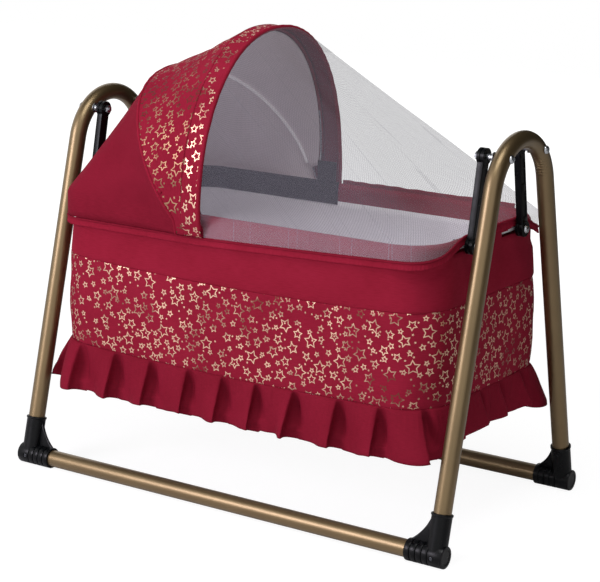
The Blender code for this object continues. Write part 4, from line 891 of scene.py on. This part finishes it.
# The cord uses the darker copy of the maroon cloth: painted shade along the rim.
swept("hem_piping", [hem_point(k / 480)[0] for k in range(480)], 0.0022, 8, maroon_painted_shade, "basket",
      "zip_piping", closed=True, pucker=0.14)


def zip_band_point(u, v):
    """A flat band below the cord; its lower edge stands free and throws a thin shadow."""
    point, way = hem_point(u, -0.0125 * v)
    stand = 0.0022 * v ** 0.7 - 0.0008 + 0.0006 * math.sin(u * ROUND / 0.009 * 2 * math.pi) * v
    return point + way * (stand + 0.0008 * luck_at(u * 160, 3.5, 0) * v)


zip_band = cloth("zip_band", 960, 6, zip_band_point, (ROUND, 0.0125), maroon_cloth, "basket",
                 thick=0.0012, closed=True, turned=True)


# Hood: two wire bows on pins in the ring carry a star-print panel between them. A visor stands
# forward of the front bow with a bound edge, and a plain maroon panel runs down to the head end.
PIN_X, FOOT_Y = -0.105, 0.2380
# Each bow: half width, height, roundness and lean.
REAR = (0.2585, 0.2955, 2.29, math.radians(-34.8))
MIDDLE = (0.2365, 0.3300, 2.23, math.radians(2.4))
REAR_HEM_X, MIDDLE_HEM_X, FRONT_HEM_X = -0.118, -0.098, -0.060
HOOD_HEM_Y, HOOD_HEM_Z, BELOW_PIN = 0.2292, HEM_Z + 0.0036, 0.04
HOOD_STEPS = 160


def arch_point(bow, share, lift, shift, top_shift=0.0, foot_y=FOOT_Y):
    """A point over a bow, at a share of the way from the near foot to the far one."""
    half_width, height, power, lean = bow
    half_width, height = half_width + lift, height + lift
    c, s = math.cos(math.pi * share), max(0.0, math.sin(math.pi * share))
    rise = s ** (2 / power)
    spread = math.copysign(abs(c) ** (2 / power), c)
    pull = 1 - (1 - foot_y / half_width) * (1 - rise) ** 5
    near = (1 - rise) ** 3
    return Vector((PIN_X + height * rise * math.sin(lean) + (shift - top_shift) * near + top_shift,
                   -half_width * spread * pull, RING_Z + height * rise * math.cos(lean)))


def rear_seam(share):
    return arch_point(REAR, share, 0.0052, -0.012)


def middle_seam(share, lift=0.0052):
    return arch_point(MIDDLE, share, lift, 0.004)


def front_edge(share):
    return arch_point(MIDDLE, share, 0.00325, 0.043, 0.037)


def down_to_hem(seam, hem_x, share):
    """A seam line that goes on below the pins to the hem at each end."""
    if share < BELOW_PIN:
        return Vector((hem_x, -HOOD_HEM_Y, HOOD_HEM_Z)).lerp(seam(0), share / BELOW_PIN)
    if share > 1 - BELOW_PIN:
        foot = Vector((hem_x, HOOD_HEM_Y, HOOD_HEM_Z))
        return seam(1).lerp(foot, (share - 1 + BELOW_PIN) / BELOW_PIN)
    return seam((share - BELOW_PIN) / (1 - 2 * BELOW_PIN))


def panel_between(first, last, sag, depth, seed):
    """Cloth between two lines, hollow in the middle and softly creased."""
    centre = Vector((PIN_X, 0, RING_Z))

    def shape(u, v):
        a, b = first(u), last(u)
        point = a.lerp(b, v)
        hollow = sag * min(1, (b - a).length / 0.165)
        crease = ripple(point, 0.06, depth, seed) + ripple(point, 0.022, depth * 0.5, seed)
        return point + (centre - point).normalized() * (hollow + crease) * 4 * v * (1 - v)
    return shape


def flat_strip(shape, length, middle):
    """The flat cut of a hood strip: its middle line is straight and its width is as it is there."""
    def place(u, v):
        return u * length, middle + (v - 0.5) * (shape(u, 1.0) - shape(u, 0.0)).length
    return place


# The cloth's wrong side is a duller, darker maroon.
dark_back = woven("maroon_cloth_wrong_side", "8c2a40", "7a2034")[0]
star_shape = panel_between(lambda s: down_to_hem(rear_seam, REAR_HEM_X, s),
                           lambda s: down_to_hem(middle_seam, MIDDLE_HEM_X, s), 0.0035, 0.003, 4.0)
star_panel = cloth("hood_star_panel", 150, 30, star_shape, flat_strip(star_shape, 1.02, 0.1),
                   hood_star_cloth, None, "star_panel", inside=dark_back, turned=True)
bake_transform(star_panel)
visor_shape = panel_between(
    lambda s: down_to_hem(lambda t: middle_seam(t, 0.0044), MIDDLE_HEM_X, s),
    lambda s: down_to_hem(front_edge, FRONT_HEM_X, s), 0.0, 0.0012, 9.0)
visor = cloth("hood_visor", 150, 10, visor_shape, flat_strip(visor_shape, 1.02, 0.23), star_cloth,
              "hood_front", "visor_panel", inside=dark_back, turned=True)


def line_of(shape, start, stop, steps=HOOD_STEPS):
    """Points along a line, from one share of its length to another."""
    return [shape(start + (stop - start) * k / steps) for k in range(steps + 1)]


swept("hood_front_binding", line_of(lambda s: down_to_hem(front_edge, FRONT_HEM_X, s), 0.02, 0.98),
      0.0044, 12, maroon_cloth, "hood_front", "front_binding", pucker=0.06)
# Both wire bows run in sleeves of the same cloth.
for label, bow, body in (("middle", MIDDLE, "hood_front"), ("rear", REAR, "basket")):
    swept(label + "_bow_sleeve", line_of(lambda s: arch_point(bow, s, 0.0, 0.0), 0.048, 0.952),
          0.0033, 12, maroon_cloth, body, pucker=0.02)
swept("hood_rear_piping", line_of(lambda s: down_to_hem(rear_seam, REAR_HEM_X, s), 0, 1),
      0.0028, 8, maroon_cloth, "basket", pucker=0.08)


def along_line(points):
    """The place at a share of a line's length, as a function of the share."""
    far = [0.0]
    for a, b in zip(points, points[1:]):
        far.append(far[-1] + (b - a).length)

    def place(share):
        goal = far[-1] * min(max(share, 0.0), 1.0)
        k = next(k for k in range(1, len(points)) if goal <= far[k] or k == len(points) - 1)
        return points[k - 1].lerp(points[k], min(1.0, (goal - far[k - 1]) / (far[k] - far[k - 1])))
    return place


def hem_share(x):
    """The share of the way round at which the hem's back side passes a place along X."""
    return (FLAT + BENT + SIDE * (1 - x / (HEM_X - HEM_R)) / 2) / ROUND


def tent(line, middle, start, power, depth, seed, apex=0.0):
    """Cloth stretched from the hem round an end, up over a shoulder, to a seam line."""
    seam = along_line(line_of(line, 0, 1))
    foot = 0.08

    def shape(u, v):
        stop = 2 * u - 1
        low = hem_point(middle + stop * start, 0.003)[0]
        high = seam((math.copysign(abs(stop) ** power, stop) + 1) / 2)
        top = min(RING_Z + 0.016, low.z + (high.z - low.z) / 2)
        shoulder = Vector((low.x, low.y, max(top, low.z + 0.0012)))
        up = (v - foot) / (1 - foot)
        point = low.lerp(shoulder, v / foot) if v < foot else shoulder.lerp(high, up)
        swing = max(0, math.sin(math.pi * max(0, up)))
        inward = Vector((PIN_X - point.x, -point.y, RING_Z - point.z)).normalized()
        return point + inward * (luck_at(u * 26, v * 1.5, seed) * depth + apex) * swing
    return shape


# Hood lining: thin pale mauve cloth under the bows, with a white piped seam. A little daylight
# comes through the hood to them, which a faint glow of their own colour stands for.
mauve_lining = woven("mauve_grey_lining", "dfd4d8", "d1c6ca", painted_glow=0.085)[0]
rear_shape = tent(lambda s: rear_seam(1 - s) - Vector((0.001, 0, 0)), 0.5,
                  0.5 - hem_share(REAR_HEM_X), 1.3, 0.003, 5.0, 0.004)
# The rear panel uses the darker copy of the maroon cloth: painted shade.
rear_panel = cloth("hood_rear_panel", 160, 40, rear_shape, (1.15, 0.30), maroon_painted_shade, "basket",
                   "rear_panel", inside=mauve_lining)


def lining_edge(bow):
    return lambda s: arch_point(bow, 0.03 + 0.94 * s, -0.0060, 0, foot_y=0.213)


lining = cloth("hood_lining_cloth", 120, 24,
               panel_between(lining_edge(REAR), lining_edge(MIDDLE), 0.0035, 0.002, 2.0),
               (0.95, 0.17), mauve_lining, None, "hood_lining", thick=0.0008)
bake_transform(lining)
bright_piping = woven("white_polyester_piping", "fbf8fa", "eeeaee", painted_glow=0.14)[0]
inner_seam = line_of(lambda s: arch_point(REAR, s, -0.0100, -0.008, foot_y=0.212),
                     0.045, 0.960, 120)
seam = swept("hood_inner_seam", inner_seam, 0.0031, 8, bright_piping, None, pucker=0.05)
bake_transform(seam)
for name in ("middle_bow", "rear_bow", "hood_pin_front", "hood_pin_back"):
    dress(name, zinc_plate)

# A charcoal band hangs round the inside of the rim, under the hood.
charcoal_tape = woven("charcoal_rim_band", "2c2a2e", "222024")[0]
TAPE_FAR_X, TAPE_NEAR_X, TAPE_INSET, TAPE_WIDE = -0.045, -0.092, COVER_R + 0.0036, 0.044


def rim_band_point(u, v):
    """The tape hangs inside the cover, its upper edge rolled out a little."""
    far_end, near_end = hem_share(TAPE_FAR_X), 1 - hem_share(TAPE_NEAR_X)
    point, way = round_at(RING_X - TAPE_INSET, RING_Y - TAPE_INSET, RING_R - TAPE_INSET,
                          far_end + (near_end - far_end) * u)
    point.z = RING_Z + 0.0135 - TAPE_WIDE * v
    return point + way * (0.004 * (1 - min(1, v / 0.15)) + ripple(point, 0.03, 0.0008))


tape = cloth("rim_charcoal_band", 260, 12, rim_band_point, (1.11, 0.046), charcoal_tape, "basket",
             thick=0.0012)


def patch_point(u, v):
    """A charcoal patch at the far corner of the hood's front edge, which turns with the hood."""
    point = Vector((-0.090 + 0.044 * u, RING_Y - COVER_R - 0.0024, RING_Z + 0.0535 - 0.042 * v))
    return point + Vector((0, ripple(point, 0.03, 0.0006), 0))


patch = cloth("hood_corner_patch", 20, 20, patch_point, (0.044, 0.042), charcoal_tape,
              "hood_front", thick=0.0008)


def flap_point(u, v):
    """The zip's flap on the far side, which stands up inside the net."""
    return Vector((-0.040 + 0.380 * u, RING_Y + 0.0045 + 0.0012 * math.sin(u * 60) * v,
                   RING_Z + 0.004 + (0.0135 + 0.0012 * luck_at(u * 18, 4.4, 0)) * v))


flap = cloth("far_zip_flap", 160, 4, flap_point, (0.380, 0.0135), maroon_cloth, "basket",
             thick=0.0012)


# Net: fine white polyester mesh, stretched from the hood's front edge to the hem at the foot end.
# The real holes are about 1.5 mm wide; they are drawn as 4.9 mm diamonds, which just show.
NET_CELL = 1 / 205
net_mesh, tree, shader = surface("white_net", "7e7c86", 0.85)
cut = add(tree, "ShaderNodeUVMap", uv_map="cut")
turned = add(tree, "ShaderNodeMapping", {"Vector": cut, "Rotation": (0, 0, math.radians(45)),
                                         "Scale": (1 / NET_CELL, 1 / NET_CELL, 1)})
holes = add(tree, "ShaderNodeTexVoronoi", feature="DISTANCE_TO_EDGE", voronoi_dimensions="2D")
feed(holes, {"Vector": turned, "Scale": 1, "Randomness": 0.0})
yarn = add(tree, "ShaderNodeMapRange", (holes.outputs["Distance"], 0.06, 0.30, 0.40, 0.185))
# A few long pulled folds let less light through.
pulled = add(tree, "ShaderNodeMapping", {"Vector": cut, "Scale": (16, 0.5, 1)})
folds = add(tree, "ShaderNodeTexNoise", {"Vector": pulled, "Scale": 1, "Detail": 1})
line = add(tree, MATH, (folds, 0.55, 0.005), operation="COMPARE")
thick = add(tree, MATH, (line, 0.10, yarn), operation="MULTIPLY_ADD")
# The mesh is paler along its lower edge.
height = add(tree, "ShaderNodeSeparateXYZ", (cut,))
paler_low = add(tree, "ShaderNodeMapRange", (height.outputs["Y"], 0.02, 0.14, 1, 0))
tint = add(tree, "ShaderNodeMix", data_type="RGBA")
feed(tint, {"Factor": paler_low, "A": "807e88", "B": "b4b0ba"})
feed(shader, {"Base Color": tint, "Alpha": thick, "Specular IOR Level": 0.05})
net_shape = tent(lambda s: front_edge(s) + Vector((0.0053, 0, 0)), 0.0, hem_share(FRONT_HEM_X),
                 1.6, 0.004, 1.0)
net = cloth("basket_net", 200, 60, net_shape, (1.6, 0.55), net_mesh, None, "foot_net", thick=0)
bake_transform(net)


# Inside: white lining walls, one loop of polyester cut flat and sewn in under the cover at the
# rim. They are drawn down to the floor cloth.
LINING_IN, LINING_LOW_IN = COVER_R + 0.0022, 0.0095
lining_rows = [cover_row(-LINING_IN, 0.024),
               (BAND_X - LINING_LOW_IN, BAND_Y - LINING_LOW_IN, BAND_R - LINING_LOW_IN, 0.266, 0)]
walls = cloth("basket_lining_cloth", 240, 20, lambda u, v: wall_point(lining_rows, u, v, 0.0012),
              (ROUND, 0.225), inner_white, "basket", "basket_lining", closed=True, turned=True)


# Mattress: a thin foam pad in a quilted white cover with a piped edge, loose on the base board. The
# foam crowns a little, and crossed rows of quilting pull the cover in.
MAT_R, MAT_CROWN, MAT_RIM = 0.060, 0.008, 0.90
# Shares of the mattress's outline from its top's middle: where its edge starts and ends.
EDGE_FROM, EDGE_TO = 0.46, 0.60
QUILT_PITCH, QUILT_DEEP, QUILT_WIDE = 0.095, 0.0035, 0.007
low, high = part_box("mattress")
mat_x, mat_y, mat_low, mat_high = high.x - 0.001, high.y - 0.001, low.z, high.z


def quilt(x, y):
    """How deep the quilting pulls the cover in."""
    pull = 0
    for row in (x + y * 1.2, x - y * 1.2):
        off = abs((row / QUILT_PITCH) % 1 - 0.5) * QUILT_PITCH
        pull = max(pull, math.exp(-(off / QUILT_WIDE) ** 2))
    return pull * QUILT_DEEP


def mattress_point(u, v):
    """Top from its middle out, round the edge, and back along the underside."""
    thick = mat_high - mat_low - MAT_CROWN
    turn = math.pi * (v - EDGE_FROM) / (EDGE_TO - EDGE_FROM)
    if v < EDGE_FROM:
        share = v / EDGE_FROM * MAT_RIM
    elif v > EDGE_TO:
        share = (1 - v) / (1 - EDGE_TO) * MAT_RIM
    else:
        share = MAT_RIM + (1 - MAT_RIM) * math.sin(turn)
    point = round_at(mat_x * share, mat_y * share, MAT_R * share, u)[0]
    if v < EDGE_FROM:
        fade = min(1, (MAT_RIM - share) / 0.1 + 0.15)
        dents = quilt(point.x, point.y) + 0.0012 * (1 + ripple(point, 0.05, 1, 6.0))
        height = thick + MAT_CROWN * (1 - share ** 2) - dents * fade
    elif v > EDGE_TO:
        height = 0.0
    else:
        height = thick / 2 * (1 + math.copysign(abs(math.cos(turn)) ** 0.6, math.cos(turn)))
    return Vector((point.x, point.y, mat_low + height))


quilted_cotton = woven("quilted_white_cotton", "dedce2", "cfcdd6", 0.1)[0]
mattress = cloth("crib_mattress", 300, 120, mattress_point,
                 lambda u, v: tuple(mattress_point(u, v).xy), quilted_cotton, "basket",
                 "mattress", thick=0, closed=True, turned=True)
edge_line = [round_at(mat_x * 0.985, mat_y * 0.985, MAT_R, k / 240)[0]
             + Vector((0, 0, mat_high - 0.0125)) for k in range(240)]
swept("mattress_piping", edge_line, 0.0022, 8, white_cloth, "basket", closed=True, pucker=0.08)

# Base board: one sheet of brown hardboard, sawn to shape, which lies loose on the floor cloth.
# Pressed fibre shows as short dark and light specks; they are 2 mm here and finer in the real one.
hardboard, tree, shader = surface("hardboard", "6b4a30", 0.7)
spot = add(tree, "ShaderNodeTexCoord").outputs["Object"]
fibre = add(tree, "ShaderNodeTexNoise", {"Vector": spot, "Scale": 500, "Detail": 4})
fleck = add(tree, "ShaderNodeMix", data_type="RGBA")
feed(fleck, {"Factor": fibre, "A": "4b3220", "B": "8a6544"})
feed(shader, {"Base Color": fleck})
dress("base_board", hardboard)

# Floor cloth: one piece of white polyester, sewn round its edge to the lining and the cover.
# It is pulled tight under the board and sags a little.
low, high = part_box("floor_cloth")
floor_x, floor_y, floor_z = high.x, high.y, (low.z + high.z) / 2


def floor_point(u, v):
    """The floor, v from its middle to its edge."""
    point = round_at(floor_x * v, floor_y * v, BAND_R * v, u)[0]
    point.z = floor_z - 0.0012 * (1 - v * v) + ripple(point, 0.06, 0.0006, 8.0)
    return point


floor_sheet = cloth("floor_cloth_sheet", 200, 24, floor_point,
                    lambda u, v: tuple(floor_point(u, v).xy), white_cloth, "basket",
                    "floor_cloth", thick=0.001, closed=True)

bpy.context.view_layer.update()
